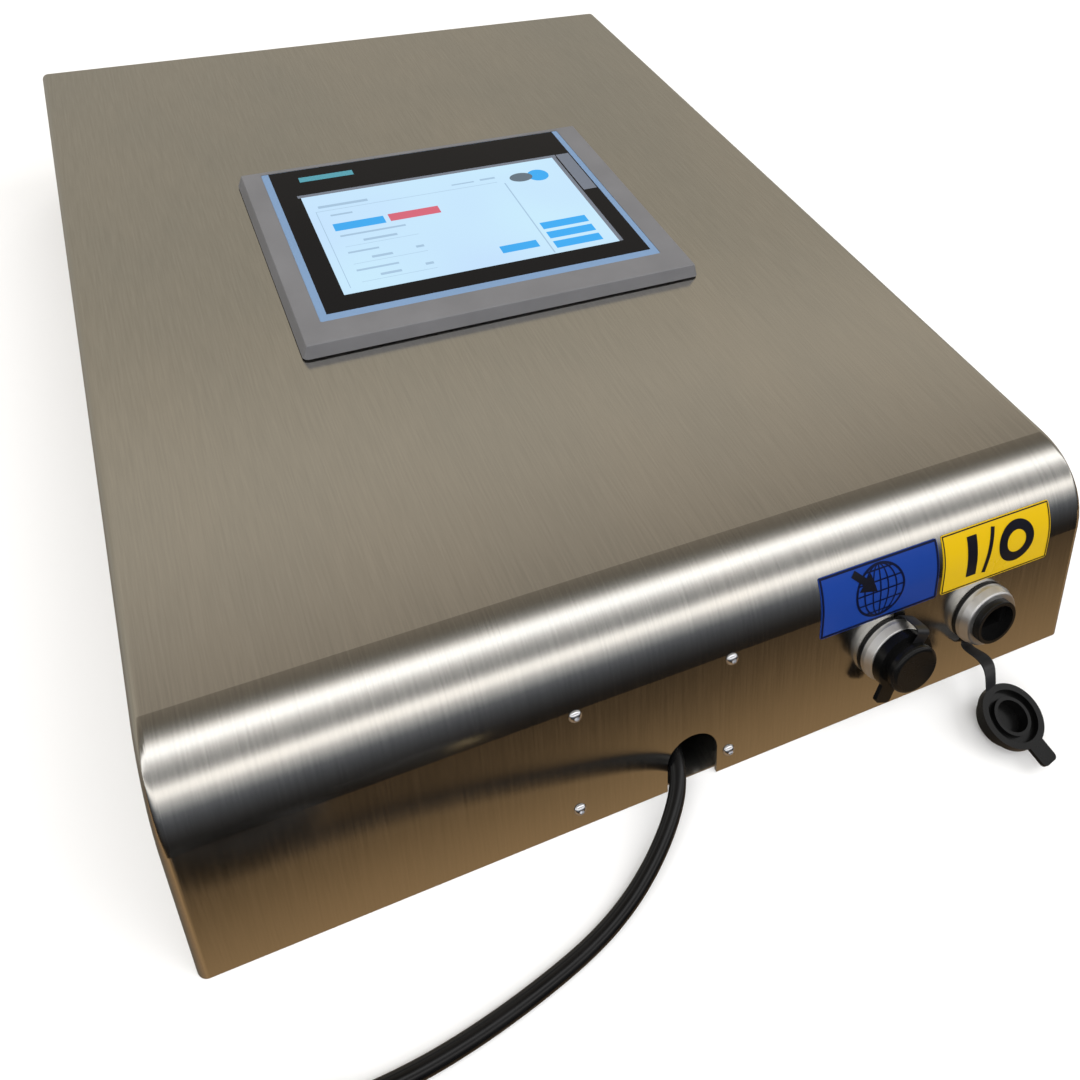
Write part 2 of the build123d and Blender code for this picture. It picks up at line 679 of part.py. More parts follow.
def port_body(x):
    """The port's moulded insert, with a recessed face and the mouth for a data plug."""
    body = rod(Plane.XY, 0, 0, 0, PORT_STAND, PORT_FRONT)
    body = fillet(body.edges().group_by(Axis.Z)[-1], 0.5)
    body += rod(Plane.XY, 0, 0, -PORT_REAR, 0.5, PORT_THREAD)
    body -= rod(Plane.XY, 0, 0, PORT_FLOOR, PORT_STAND + 1, PORT_RECESS)
    body -= box((-MOUTH_WIDTH / 2, -MOUTH_HEIGHT / 2, -PORT_REAR + 4), (MOUTH_WIDTH / 2, MOUTH_HEIGHT / 2, 30))
    return FACE * Pos(x, PORT_UP, 0) * body


def port_locknut(x):
    """The port's thin rear nut."""
    nut = hex_bar(Plane.XY, 0, 0, -SHEET - 4, -SHEET, 27)
    nut -= rod(Plane.XY, 0, 0, -20, 0, PORT_THREAD + 2 * HAIR)
    return FACE * Pos(x, PORT_UP, 0) * nut


def port_jack(x):
    """The shielded coupling behind the port, where the inner lead plugs in."""
    jack = box((-8, -7, -PORT_REAR - 18), (8, 7, -PORT_REAR))
    jack = fillet(jack.edges().filter_by(Axis.Z), 0.8)
    return FACE * Pos(x, PORT_UP, 0) * jack


def strap_ring(x, turn):
    """The cap strap's ring, held under the collar, with the strap's fixed root."""
    ring = rod(Plane.XY, 0, 0, 0, STRAP_RING, COLLAR_FOOT - 1) - rod(Plane.XY, 0, 0, -1, 2, PORT_FRONT + 2 * HAIR)
    low = -COLLAR_FOOT / 2 - HINGE_DOWN - STRAP_THICKNESS / 2
    root = box((-STRAP_WIDTH / 2, low, 0), (STRAP_WIDTH / 2, -COLLAR_FOOT / 2 + 2, STRAP_RING))
    up = low + STRAP_THICKNESS
    root += box((-STRAP_WIDTH / 2, low, 0), (STRAP_WIDTH / 2, up, HINGE_OUT))
    return FACE * Pos(x, PORT_UP, 0) * Rot(0, 0, -turn) * (ring + root)


def cap_shape():
    """One rubber cap, mouth down at the height zero, with a scalloped rim and a grip neck."""
    outline = Polyline(
        (0, 0), (CAP_RIM / 2, 0), (CAP_RIM / 2, CAP_RIM_HEIGHT), (CAP_NECK / 2, CAP_RIM_HEIGHT),
        (CAP_NECK / 2, CAP_RIM_HEIGHT + 2), (CAP_END / 2, CAP_RIM_HEIGHT + 2.6),
        (CAP_END / 2, CAP_HEIGHT), (0, CAP_HEIGHT), close=True,
    )
    cap = revolve(Plane.XZ * make_face(outline), Axis.Z)
    cap = fillet(cap.edges().group_by(Axis.Z)[-1], 2.0)
    cap -= rod(Plane.XY, 0, 0, -1, CAP_CAVITY, PORT_FRONT + 2 * CAP_GAP)
    plug = rod(Plane.XY, 0, 0, CAP_CAVITY - CAP_PLUG_HEIGHT, CAP_CAVITY + 0.5, CAP_PLUG)
    return cap + plug - rod(Plane.XY, 0, 0, -5, CAP_POCKET, CAP_PLUG - 2 * CAP_PLUG_WALL)


def cap_tab():
    """The pull tab on the rim, which points down the local Y axis when the strap is above."""
    start = CAP_RIM / 2 - 1.5
    end = CAP_RIM / 2 + TAB_LENGTH
    tab = box((-TAB_WIDTH / 2, -end, 0), (TAB_WIDTH / 2, -start, 2.0))
    return fillet(tab.edges().filter_by(Axis.Z).sort_by(Axis.Y)[:2], 2.0)


def network_cap():
    """The closed port's cap, pushed home over the insert."""
    turned = Rot(0, 0, 180 - NETWORK_STRAP_TURN) * (cap_shape() + cap_tab())
    return FACE * Pos(NETWORK_X, PORT_UP, COLLAR_HEIGHT + CAP_GAP) * turned


def network_strap():
    """The closed cap's strap, folded from its ring's root up to the rim."""
    low = -COLLAR_FOOT / 2 - HINGE_DOWN - STRAP_THICKNESS / 2
    start = HINGE_OUT + CAP_GAP
    foot = COLLAR_HEIGHT + CAP_GAP
    strap = box((-STRAP_WIDTH / 2, low, start), (STRAP_WIDTH / 2, low + STRAP_THICKNESS, start + 5))
    strap += box((-STRAP_WIDTH / 2, low, start + 3.4), (STRAP_WIDTH / 2, -CAP_NECK / 2 - 0.2, start + 5))
    rim = rod(Plane.XY, 0, 0, foot - 1, foot + CAP_RIM_HEIGHT, CAP_RIM)
    end = rod(Plane.XY, 0, 0, foot, foot + CAP_HEIGHT, CAP_END)
    turned = Rot(0, 0, -NETWORK_STRAP_TURN) * (strap - rim - end)
    return FACE * Pos(NETWORK_X, PORT_UP, 0) * turned


def hinge_point():
    """The bend in the open cap's strap, about which the cap swings."""
    bend = Pos(0, -COLLAR_FOOT / 2 - HINGE_DOWN, HINGE_OUT)
    return (FACE * Pos(IO_X, PORT_UP, 0) * Rot(0, 0, -IO_STRAP_TURN) * bend).position


def io_cap_plane():
    """The open cap's mouth, where it hangs: the normal runs from the mouth to the closed end."""
    lean = radians(IO_CAP_LEAN)
    deep = CAP_HEIGHT * cos(lean) + CAP_END / 2 * sin(lean)
    origin = (IO_X + IO_CAP_SIDE, -DEPTH / 2 - IO_CAP_DROP, deep)
    return Plane(origin=origin, x_dir=(-1, 0, 0), z_dir=(0, sin(lean), -cos(lean)))


def io_cap():
    """The open port's cap, resting on the floor with its mouth up."""
    return io_cap_plane() * Rot(0, 0, IO_CAP_TURN) * (cap_shape() + cap_tab())


def io_strap():
    """The open cap's strap, a flat band from the bend to the rim."""
    end = (io_cap_plane() * Rot(0, 0, IO_CAP_TURN) * Pos(0, CAP_RIM / 2 - 0.4, STRAP_THICKNESS / 2)).position
    start = hinge_point()
    run = end - start
    plane = Plane(origin=start, x_dir=run.cross(Vector(0, 0, 1)), z_dir=run)
    gap = 4 * CAP_GAP + STRAP_THICKNESS / 2
    middle = Pos(0, 0, (gap + run.length) / 2)
    band = plane * middle * Box(STRAP_WIDTH, STRAP_THICKNESS, run.length - gap)
    return band - io_cap_plane() * Pos(0, 0, CAP_HEIGHT / 2) * Cylinder(CAP_RIM / 2, CAP_HEIGHT)


def label(x):
    """A thin label whose upper part follows the bend."""
    along = LABEL_HEIGHT - (FACE_LENGTH - LABEL_FOOT)
    sweep_angle = degrees(along / BEND_RADIUS)
    first = 180 - LEAN
    centre = Pos(BEND_Y, BEND_UP)
    outer = BEND_RADIUS + LABEL
    sector = CenterArc((0, 0), outer, first, -sweep_angle)
    sector += CenterArc((0, 0), BEND_RADIUS, first, -sweep_angle)
    ends = [(sector.edges()[0] @ k, sector.edges()[1] @ k) for k in (0, 1)]
    sector += [Line(a, b) for a, b in ends]
    curved = extrude(Plane.YZ * centre * make_face(sector), LABEL_WIDTH / 2, both=True)
    flat = box((-LABEL_WIDTH / 2, LABEL_FOOT, 0), (LABEL_WIDTH / 2, FACE_LENGTH, LABEL))
    return Pos(x, 0, 0) * (curved + FACE * flat)


def rail_x():
    """The terminal rail's middle, set in from the case's left side."""
    return -WIDTH / 2 + RAIL_IN


def din_rail():
    """A top-hat rail, screwed flat to the base plate."""
    x = rail_x()
    y0, y1 = RAIL_Y - RAIL_LENGTH / 2, RAIL_Y + RAIL_LENGTH / 2
    rail = box((x - 13.5, y0, BASE_TOP), (x + 13.5, y1, BASE_TOP + 1))
    for side in (-1, 1):
        leg = sorted((x + side * 12.5, x + side * 13.5))
        rail += box((leg[0], y0, BASE_TOP), (leg[1], y1, BASE_TOP + RAIL_HEIGHT))
        lip = sorted((x + side * 12.5, x + side * RAIL_WIDTH / 2))
        rail += box((lip[0], y0, BASE_TOP + RAIL_HEIGHT - 1), (lip[1], y1, BASE_TOP + RAIL_HEIGHT))
    for end in (-1, 1):
        rail -= rod(Plane.XY, x, RAIL_Y + end * (RAIL_LENGTH / 2 - 12), 0, 10, 4.5)
    return rail


def rail_screws():
    """Two pan-head screws that hold the rail."""
    screws = []
    for end in (-1, 1):
        y = RAIL_Y + end * (RAIL_LENGTH / 2 - 12)
        head = rod(Plane.XY, rail_x(), y, BASE_TOP + 1, BASE_TOP + 3.4, 8)
        screws.append(head - Pos(rail_x(), y, BASE_TOP + 3.4) * Box(6, 1, 2))
    return Compound(screws)


def terminals():
    """A row of spring terminals with a wire entry at each side."""
    x, up = rail_x(), BASE_TOP + RAIL_HEIGHT
    half = TERMINAL_WIDTH / 2
    outline = Polyline(
        (-half, 0), (half, 0), (half, 20), (half - 9, TERMINAL_HEIGHT - 6), (half - 14, TERMINAL_HEIGHT),
        (-half + 14, TERMINAL_HEIGHT), (-half + 9, TERMINAL_HEIGHT - 6), (-half, 20), close=True,
    )
    blocks = []
    for place in range(TERMINALS):
        y = RAIL_Y + (place - (TERMINALS - 1) / 2) * TERMINAL_PITCH
        block = extrude(Plane.XZ * make_face(outline), (TERMINAL_PITCH - 0.1) / 2, both=True)
        for side in (-1, 1):
            block -= Pos(side * (half - 3), 0, 22) * Box(8, 2.6, 6)
            block -= Pos(side * 6, 0, TERMINAL_HEIGHT) * Cylinder(1.8, 6)
        blocks.append(Pos(x, y, up) * block)
    return Compound(blocks)


def terminal_ends():
    """Two end stops that keep the terminals together on the rail."""
    stops = []
    half = TERMINALS * TERMINAL_PITCH / 2 + 4.5
    for end in (-1, 1):
        y = RAIL_Y + end * half
        stop = Pos(rail_x(), y, BASE_TOP + RAIL_HEIGHT + 14) * Box(40, 8, 28)
        stops.append(stop - rod(Plane.XY, rail_x(), y, 30, 60, 5))
    return Compound(stops)


def supply_place():
    """Middle of the power supply's foot on the base plate."""
    return Pos(-WIDTH / 2 + SUPPLY_IN, DEPTH / 2 - SUPPLY_BACK, BASE_TOP)


def supply_tray():
    """The power supply's folded aluminium tray, with its terminal shelf at the front."""
    tray = Pos(0, 0, SUPPLY_HEIGHT / 2) * Box(SUPPLY_WIDTH, SUPPLY_LENGTH, SUPPLY_HEIGHT)
    tray -= Pos(0, 0, SUPPLY_HEIGHT / 2 + 2) * Box(SUPPLY_WIDTH - 3, SUPPLY_LENGTH + 10, SUPPLY_HEIGHT)
    return supply_place() * tray


def supply_cover():
    """The power supply's perforated cover."""
    length = SUPPLY_LENGTH - 22
    cover = Pos(0, 11, SUPPLY_HEIGHT - 0.5) * Box(SUPPLY_WIDTH - 3.4, length, 1)
    for end in (-1, 1):
        cover += Pos(0, 11 + end * (length / 2 - 0.5), SUPPLY_HEIGHT / 2 + 1.1) * Box(
            SUPPLY_WIDTH - 3.4, 1, SUPPLY_HEIGHT - 2.2
        )
    for column in range(9):
        for row in range(5):
            cover -= Pos(-36 + 9 * column, -8 + 9 * row, SUPPLY_HEIGHT) * Cylinder(2.5, 6)
    return supply_place() * cover


def supply_works():
    """The power supply's circuit board with its transformer and capacitors."""
    length = SUPPLY_LENGTH - 24
    works = Pos(0, 11, 8) * Box(SUPPLY_WIDTH - 6, length, 1.6)
    works += Pos(-8, 15, 19) * Box(34, 30, 22)
    works += Pos(28, 42, 20) * Cylinder(9, 24)
    works += Pos(28, 20, 20) * Cylinder(9, 24)
    works += Pos(20, -20, 17) * Box(18, 16, 18)
    for corner in (-1, 1):
        works += Pos(corner * 40, 11 + length / 2 - 6, 4.6) * Cylinder(3, 5.2)
        works += Pos(corner * 40, 11 - length / 2 + 6, 4.6) * Cylinder(3, 5.2)
    return supply_place() * works


def supply_terminals():
    """The supply's seven-way screw terminal strip."""
    strip = Pos(0, -SUPPLY_LENGTH / 2 + 10, 9) * Box(70, 14, 14)
    for way in range(7):
        x = -28.5 + 9.5 * way
        strip -= Pos(x, -SUPPLY_LENGTH / 2 + 6, 16) * Box(7, 12, 10)
        strip += Pos(x, -SUPPLY_LENGTH / 2 + 9, 12) * Cylinder(2.8, 3)
    return supply_place() * strip


def board_place():
    """Middle of the print controller's board, at the height of the base plate's top."""
    return Pos(WIDTH / 2 - BOARD_IN, DEPTH / 2 - BOARD_BACK, BASE_TOP)


def board_corners():
    """The board's four fixing points."""
    across = BOARD_WIDTH / 2 - 5
    along = BOARD_DEPTH / 2 - 5
    return [(i * across, j * along) for i in (-1, 1) for j in (-1, 1)]


def board_standoffs():
    """Four hexagonal pillars under the board."""
    return Compound([board_place() * hex_bar(Plane.XY, x, y, 0, STANDOFF, 6) for x, y in board_corners()])


def board_screws():
    """Four pan-head screws on the board's corners."""
    screws = []
    for x, y in board_corners():
        head = rod(Plane.XY, x, y, STANDOFF + BOARD, STANDOFF + BOARD + 2, 5.6)
        screws.append(board_place() * (head - Pos(x, y, STANDOFF + BOARD + 2) * Box(4, 0.8, 1.6)))
    return Compound(screws)


def controller_board():
    """The print controller's bare board."""
    board = Pos(0, 0, STANDOFF + BOARD / 2) * Box(BOARD_WIDTH, BOARD_DEPTH, BOARD)
    return board_place() * fillet(board.edges().filter_by(Axis.Z), 2)


def board_connectors():
    """Plug-in terminal blocks along the board's front edge, and the head connector at its back."""
    up = STANDOFF + BOARD
    blocks = []
    for place in range(4):
        x = -51 + 34 * place
        block = Pos(x, -BOARD_DEPTH / 2 + 7, up + 6) * Box(26, 12, 12)
        for way in range(5):
            block -= Pos(x - 10 + 5 * way, -BOARD_DEPTH / 2 + 3, up + 5) * Box(3, 8, 4)
        blocks.append(board_place() * block)
    blocks.append(board_place() * Pos(0, BOARD_DEPTH / 2 - 9, up + 5) * Box(30, 12, 10))
    return Compound(blocks)


def board_chips():
    """Processor, memory, drivers and the tall capacitors."""
    up = STANDOFF + BOARD
    chips = [Pos(-25, 0, up + 1) * Box(24, 24, 2), Pos(8, 4, up + 0.7) * Box(14, 18, 1.4)]
    chips += [Pos(35 + 14 * k, 2, up + 1) * Box(10, 16, 2) for k in range(2)]
    chips += [Pos(-58, -12 + 15 * k, up + 8) * Cylinder(5, 16) for k in range(3)]
    return Compound([board_place() * chip for chip in chips])


def head_socket():
    """The round socket in the rear wall that the print head's lead screws onto."""
    rear = Plane(origin=(SOCKET_X, DEPTH / 2, SOCKET_UP), x_dir=(-1, 0, 0), z_dir=(0, 1, 0))
    socket = rod(rear, 0, 0, 0, 2.5, SOCKET_FLANGE) + rod(rear, 0, 0, 1, SOCKET_OUT, SOCKET_HOLE)
    socket += rod(rear, 0, 0, -SOCKET_IN, 1, SOCKET_HOLE - 0.4)
    socket -= rod(rear, 0, 0, 3, SOCKET_OUT + 1, SOCKET_HOLE - 3)
    for pin in range(8):
        socket += rear * Rot(0, 0, 45 * pin) * Pos(5.5, 0, 5.5) * Cylinder(0.8, 6)
    return socket


def head_socket_nut():
    """The socket's nut, inside the rear wall."""
    rear = Plane(origin=(SOCKET_X, DEPTH / 2, SOCKET_UP), x_dir=(-1, 0, 0), z_dir=(0, 1, 0))
    nut = hex_bar(rear, 0, 0, -SHEET - 4, -SHEET, 27)
    return nut - rod(rear, 0, 0, -20, 0, SOCKET_HOLE - 0.4 + 2 * HAIR)


def earth_point():
    """The earth stud's place on the base plate."""
    return (rail_x() + 45, RAIL_Y + RAIL_LENGTH / 2 + 8)


def earth_stud():
    """A stud pressed into the base plate."""
    x, y = earth_point()
    return rod(Plane.XY, x, y, BASE_TOP, BASE_TOP + 14, M4)


def earth_nut():
    """The nut and washer on the earth stud."""
    x, y = earth_point()
    nut = hex_bar(Plane.XY, x, y, BASE_TOP + 2.2, BASE_TOP + 5.4, 7)
    nut += rod(Plane.XY, x, y, BASE_TOP + 1.2, BASE_TOP + 2.3, 9)
    return nut - rod(Plane.XY, x, y, 0, 20, M4 + 2 * HAIR)


def terminal_entry(place, side):
    """A terminal's wire entry, on the given side of the rail."""
    y = RAIL_Y + (place - (TERMINALS - 1) / 2) * TERMINAL_PITCH
    return (rail_x() + side * (TERMINAL_WIDTH / 2 - 5), y, BASE_TOP + RAIL_HEIGHT + 22)


def earth_lead():
    """The earth core from the last terminal to its ring on the stud."""
    x, y = earth_point()
    x0, y0, z0 = terminal_entry(TERMINALS - 1, 1)
    points = [(x0, y0, z0), (x0 + 12, y0, z0), (x + 2, y - 34, 12), (x, y - 16, BASE_TOP + 3),
              (x, y - 4, BASE_TOP + CORE / 2)]
    core = lead(points, CORE)[0]
    ring = rod(Plane.XY, x, y, BASE_TOP, BASE_TOP + 1.2, 9) - rod(Plane.XY, x, y, 0, 9, M4 + 2 * HAIR)
    clear = rod(Plane.XY, x, y, 0, 30, M4 + 2 * HAIR) + rod(Plane.XY, x, y, BASE_TOP + 1.2, 9, 9)
    return core - clear + ring


def tail_end():
    """Where the mains lead's sheath stops, beside the terminals."""
    x, y, z = terminal_entry(0, 1)
    return Vector(x + 34, y - 36, z - 2)


def mains_tail():
    """The sheathed lead from the strain relief, through the gland, to beside the terminals."""
    start = Vector(*relief_end())
    end = tail_end()
    rear = gland_plane().origin.Y + SHEET + LOCKNUT
    middle = (Vector(start.X, rear + 30, start.Z) + end) / 2
    points = [start, (start.X, rear + 34, start.Z), (middle.X + 4, middle.Y + 8, 17),
              (end.X + 10, end.Y - 22, end.Z - 4), end]
    return lead([tuple(p) for p in points], CABLE)[0]


def mains_cores():
    """Live, neutral and earth cores from the sheath to the first three terminals."""
    cores = []
    for place in range(3):
        x, y, z = terminal_entry(place, 1)
        start = tail_end() + Vector(-0.4, 0.8, (place - 1) * 2.3)
        points = [tuple(start), (x + 16, y - 9 + place, z + (place - 1) * 2.4), (x + 8, y, z), (x, y, z)]
        cores.append(lead(points, CORE)[0])
    return Compound(cores)


def supply_way(way):
    """A wire's seat in the power supply's terminal strip."""
    foot = supply_place().position
    return (foot.X - 28.5 + 9.5 * way, foot.Y - SUPPLY_LENGTH / 2 + 3.5, foot.Z + 13.3)


def supply_cores():
    """Three mains cores from the terminals to the power supply."""
    cores = []
    for place in range(3):
        x, y, z = terminal_entry(place, -1)
        end = supply_way(place)
        out = x - 12 - 3.4 * place
        points = [(x, y, z), (out, y, z), (out, end[1] - 32 - 4 * place, z - 6), (end[0], end[1] - 11, end[2] + 1),
                  end]
        cores.append(lead(points, CORE)[0])
    return Compound(cores)


def panel_plug_x(side):
    """How far from the panel's middle its two rear plugs sit."""
    return PANEL_X + side * 60


def panel_supply_lead():
    """The low-voltage lead from the power supply up to the operator panel."""
    start = supply_way(5)
    x, y = panel_plug_x(-1), PANEL_Y - 48
    top = HEIGHT + SEAL - HOUSING_DEPTH - 12
    points = [start, (start[0], start[1] - 20, start[2]), ((start[0] + x) / 2, start[1] - 56, 15), (x - 4, y + 46, 14),
              (x, y + 20, 14), (x, y, 19), (x, y, top)]
    return lead(points, LEAD - 1)[0]


def jack_end(x):
    """Rear end of a port's coupling, and the point a short way behind it."""
    back = -PORT_REAR - 18
    place = FACE * Pos(x, PORT_UP, 0)
    return [tuple((place * Pos(0, 0, back)).position), tuple((place * Pos(0, 0, back - 17)).position)]


def network_lead():
    """The patch lead from the network port up to the operator panel."""
    start, behind = jack_end(NETWORK_X)
    x, y = panel_plug_x(1), PANEL_Y - 26
    top = HEIGHT + SEAL - HOUSING_DEPTH - 14
    points = [start, behind, (start[0] - 5, start[1] + 46, 9), ((start[0] + x) / 2, (start[1] + y) / 2 + 8, 8),
              (x + 4, y - 52, 8), (x, y - 22, 10), (x, y, 17), (x, y, top)]
    return lead(points, LEAD)[0]


def board_entry(place):
    """Front of one of the board's plug-in terminal blocks."""
    middle = board_place().position
    return (middle.X - 51 + 34 * place, middle.Y - BOARD_DEPTH / 2 + 1, middle.Z + STANDOFF + BOARD + 7)


def io_lead():
    """The signal lead from the I/O port to the print controller."""
    start, behind = jack_end(IO_X)
    x, y, z = board_entry(2)
    points = [start, behind, (start[0] + 3, start[1] + 52, 8), (start[0] + 2, (start[1] + y) / 2 - 20, 7),
              ((start[0] + x) / 2 + 4, y - 100, 8), (x, y - 42, 12), (x, y - 18, z), (x, y, z)]
    return lead(points, LEAD)[0]


def controller_supply_lead():
    """The low-voltage lead from the power supply to the print controller."""
    start = supply_way(6)
    x, y, z = board_entry(0)
    points = [start, (start[0] + 2, start[1] - 14, start[2]), (start[0] + 38, start[1] - 26, 11),
              ((start[0] + x) / 2 + 10, start[1] - 22, 10), (x - 28, y - 26, 13), (x, y - 15, z), (x, y, z)]
    return lead(points, LEAD - 1)[0]


def head_lead():
    """The lead from the controller's rear connector to the print head's socket."""
    foot = board_place().position
    y0 = foot.Y + BOARD_DEPTH / 2 - 3
    z0 = foot.Z + STANDOFF + BOARD + 5
    y1 = DEPTH / 2 - SOCKET_IN
    middle = (y0 + y1) / 2
    points = [(foot.X, y0, z0), (foot.X, y0 + 12, z0), (SOCKET_X, middle + 4, (z0 + SOCKET_UP) / 2),
              (SOCKET_X, y1 - 9, SOCKET_UP), (SOCKET_X, y1, SOCKET_UP)]
    return lead(points, LEAD + 1)[0]


cable, cable_length = lead(mains_route(), CABLE)
print("lead radii", [round(r) for r in corner_radii(mains_route())])
print("lead length", round(cable_length), "volume ratio", cable.volume / (cable_length * pi * CABLE**2 / 4))

PIECES = {
    "hood": hood(),
    "base_plate": base_plate(),
    "base_screws": base_screws(),
    "front_screws": front_screws(),
    "front_nuts": front_nuts(),
    "gland_bracket": gland_bracket(),
    "gland_body": gland_body(),
    "gland_nut": gland_nut(),
    "gland_locknut": gland_locknut(),
    "gland_strain_relief": strain_relief(),
    "panel_bezel": panel_bezel(),
    "panel_glass": panel_glass(-HAIR, TOP - GLASS, TOP),
    "panel_screen": panel_screen(0, TOP - GLASS - SCREEN_HEIGHT, TOP - GLASS),
    "panel_seal": panel_seal(),
    "panel_housing": panel_housing(),
    "panel_board": panel_board(),
    "panel_clamps": panel_clamps(),
    "panel_clamp_screws": panel_clamp_screws(),
    "panel_plugs": Compound([
        panel_plug(panel_plug_x(-1), PANEL_Y - 48, 16, 10, 12),
        panel_plug(panel_plug_x(1), PANEL_Y - 26, 12, 9, 14),
    ]),
    "network_port_collar": port_collar(NETWORK_X),
    "network_port_body": port_body(NETWORK_X),
    "network_strap_ring": strap_ring(NETWORK_X, NETWORK_STRAP_TURN),
    "network_cap": network_cap(),
    "network_cap_strap": network_strap(),
    "io_port_collar": port_collar(IO_X),
    "io_port_body": port_body(IO_X),
    "port_locknuts": Compound([port_locknut(x) for x in (NETWORK_X, IO_X)]),
    "port_jacks": Compound([port_jack(x) for x in (NETWORK_X, IO_X)]),
    "io_strap_ring": strap_ring(IO_X, IO_STRAP_TURN),
    "io_cap": io_cap(),
    "io_cap_strap": io_strap(),
    "network_label": label(NETWORK_LABEL_X),
    "io_label": label(IO_LABEL_X),
    "terminal_rail": din_rail(),
    "rail_screws": rail_screws(),
    "terminals": terminals(),
    "terminal_end_stops": terminal_ends(),
    "supply_tray": supply_tray(),
    "supply_cover": supply_cover(),
    "supply_works": supply_works(),
    "supply_terminals": supply_terminals(),
    "controller_board": controller_board(),
    "board_standoffs": board_standoffs(),
    "board_screws": board_screws(),
    "board_connectors": board_connectors(),
    "board_chips": board_chips(),
    "head_socket": head_socket(),
    "head_socket_nut": head_socket_nut(),
    "earth_fixing": Compound([earth_stud(), earth_nut()]),
    "inner_cores": Compound([earth_lead(), *mains_cores().solids(), *supply_cores().solids()]),
    "mains_tail": mains_tail(),
    "inner_leads": Compound([panel_supply_lead(), network_lead(), io_lead(), controller_supply_lead(), head_lead()]),
    "mains_cable": cable,
    "mains_cable_coil": coil(),
    "mains_cable_tie": tie(),
    "mains_plug": plug_body(),
    "mains_plug_pins": plug_pins(),
    "mains_plug_relief": plug_relief(),
    "mains_plug_lead": lead(plug_lead_route(), CABLE)[0],
}

for name, piece in PIECES.items():
    save(name, piece)
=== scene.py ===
from math import cos, pi, radians, sin, tau

import bmesh
import bpy
from mathutils import Euler, Matrix, Vector


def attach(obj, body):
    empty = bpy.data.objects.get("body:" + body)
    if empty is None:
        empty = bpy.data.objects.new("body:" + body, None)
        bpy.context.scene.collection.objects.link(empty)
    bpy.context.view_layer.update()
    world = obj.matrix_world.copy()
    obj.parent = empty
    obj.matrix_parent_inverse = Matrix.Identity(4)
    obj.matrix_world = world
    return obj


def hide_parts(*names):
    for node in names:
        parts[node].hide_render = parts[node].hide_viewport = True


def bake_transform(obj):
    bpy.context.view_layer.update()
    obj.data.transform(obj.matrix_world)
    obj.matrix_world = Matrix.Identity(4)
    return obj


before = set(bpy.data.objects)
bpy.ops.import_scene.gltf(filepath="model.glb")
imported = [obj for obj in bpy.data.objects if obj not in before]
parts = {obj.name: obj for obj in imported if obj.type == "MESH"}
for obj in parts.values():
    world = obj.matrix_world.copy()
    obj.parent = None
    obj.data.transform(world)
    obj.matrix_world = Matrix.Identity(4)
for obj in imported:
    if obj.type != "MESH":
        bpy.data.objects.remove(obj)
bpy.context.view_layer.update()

# Where the printer's case stands: a pale bench top under soft overhead tubes, seen by someone
# who stands in front of it and to its left. The steel mirrors the room, so the room is a soft
# band of tones round the case: grey behind, two rows of tubes above, dark in front.
scene = bpy.context.scene
scene.view_settings.view_transform = "Standard"

eye = bpy.data.objects.new("eye", bpy.data.cameras.new("eye"))
scene.collection.objects.link(eye)
eye.location = (-0.165, -0.39915, 0.39728)
eye.rotation_euler = Euler((radians(46.21), radians(-3.48), radians(-22.23)))
eye.data.sensor_width = 36.0
eye.data.lens = 31.74
eye.data.shift_x = 0.0322
eye.data.shift_y = -0.1444
eye.data.clip_start = 0.01
scene.camera = eye

bench = bmesh.new()
bmesh.ops.create_grid(bench, x_segments=8, y_segments=8, size=6.0)
bench_mesh = bpy.data.meshes.new("bench")
bench.to_mesh(bench_mesh)
bench.free()
bench_top = bpy.data.objects.new("bench", bench_mesh)
scene.collection.objects.link(bench_top)
bench_top.location.z = -0.0004
bench_top.visible_glossy = False
bench_finish = bpy.data.materials.new("bench_paint")
bench_finish.use_nodes = True
bench_finish.node_tree.nodes["Principled BSDF"].inputs["Base Color"].default_value = (0.86, 0.86, 0.86, 1)
bench_finish.node_tree.nodes["Principled BSDF"].inputs["Roughness"].default_value = 0.9
bench_mesh.materials.append(bench_finish)

room = bpy.data.worlds.new("room")
scene.world = room
room.use_nodes = True
tree = room.node_tree
where = tree.nodes.new("ShaderNodeTexCoord")
axes = tree.nodes.new("ShaderNodeSeparateXYZ")
tree.links.new(where.outputs["Generated"], axes.inputs[0])
height = tree.nodes.new("ShaderNodeMath")
height.operation = "ARCTAN2"
tree.links.new(axes.outputs["Z"], height.inputs[0])
tree.links.new(axes.outputs["Y"], height.inputs[1])
turn = tree.nodes.new("ShaderNodeMath")
turn.operation = "MULTIPLY_ADD"
turn.inputs[1].default_value = 1 / tau
turn.inputs[2].default_value = 1.0
tree.links.new(height.outputs[0], turn.inputs[0])
whole = tree.nodes.new("ShaderNodeMath")
whole.operation = "FRACT"
tree.links.new(turn.outputs[0], whole.inputs[0])
tones = tree.nodes.new("ShaderNodeValToRGB")
tree.links.new(whole.outputs[0], tones.inputs[0])
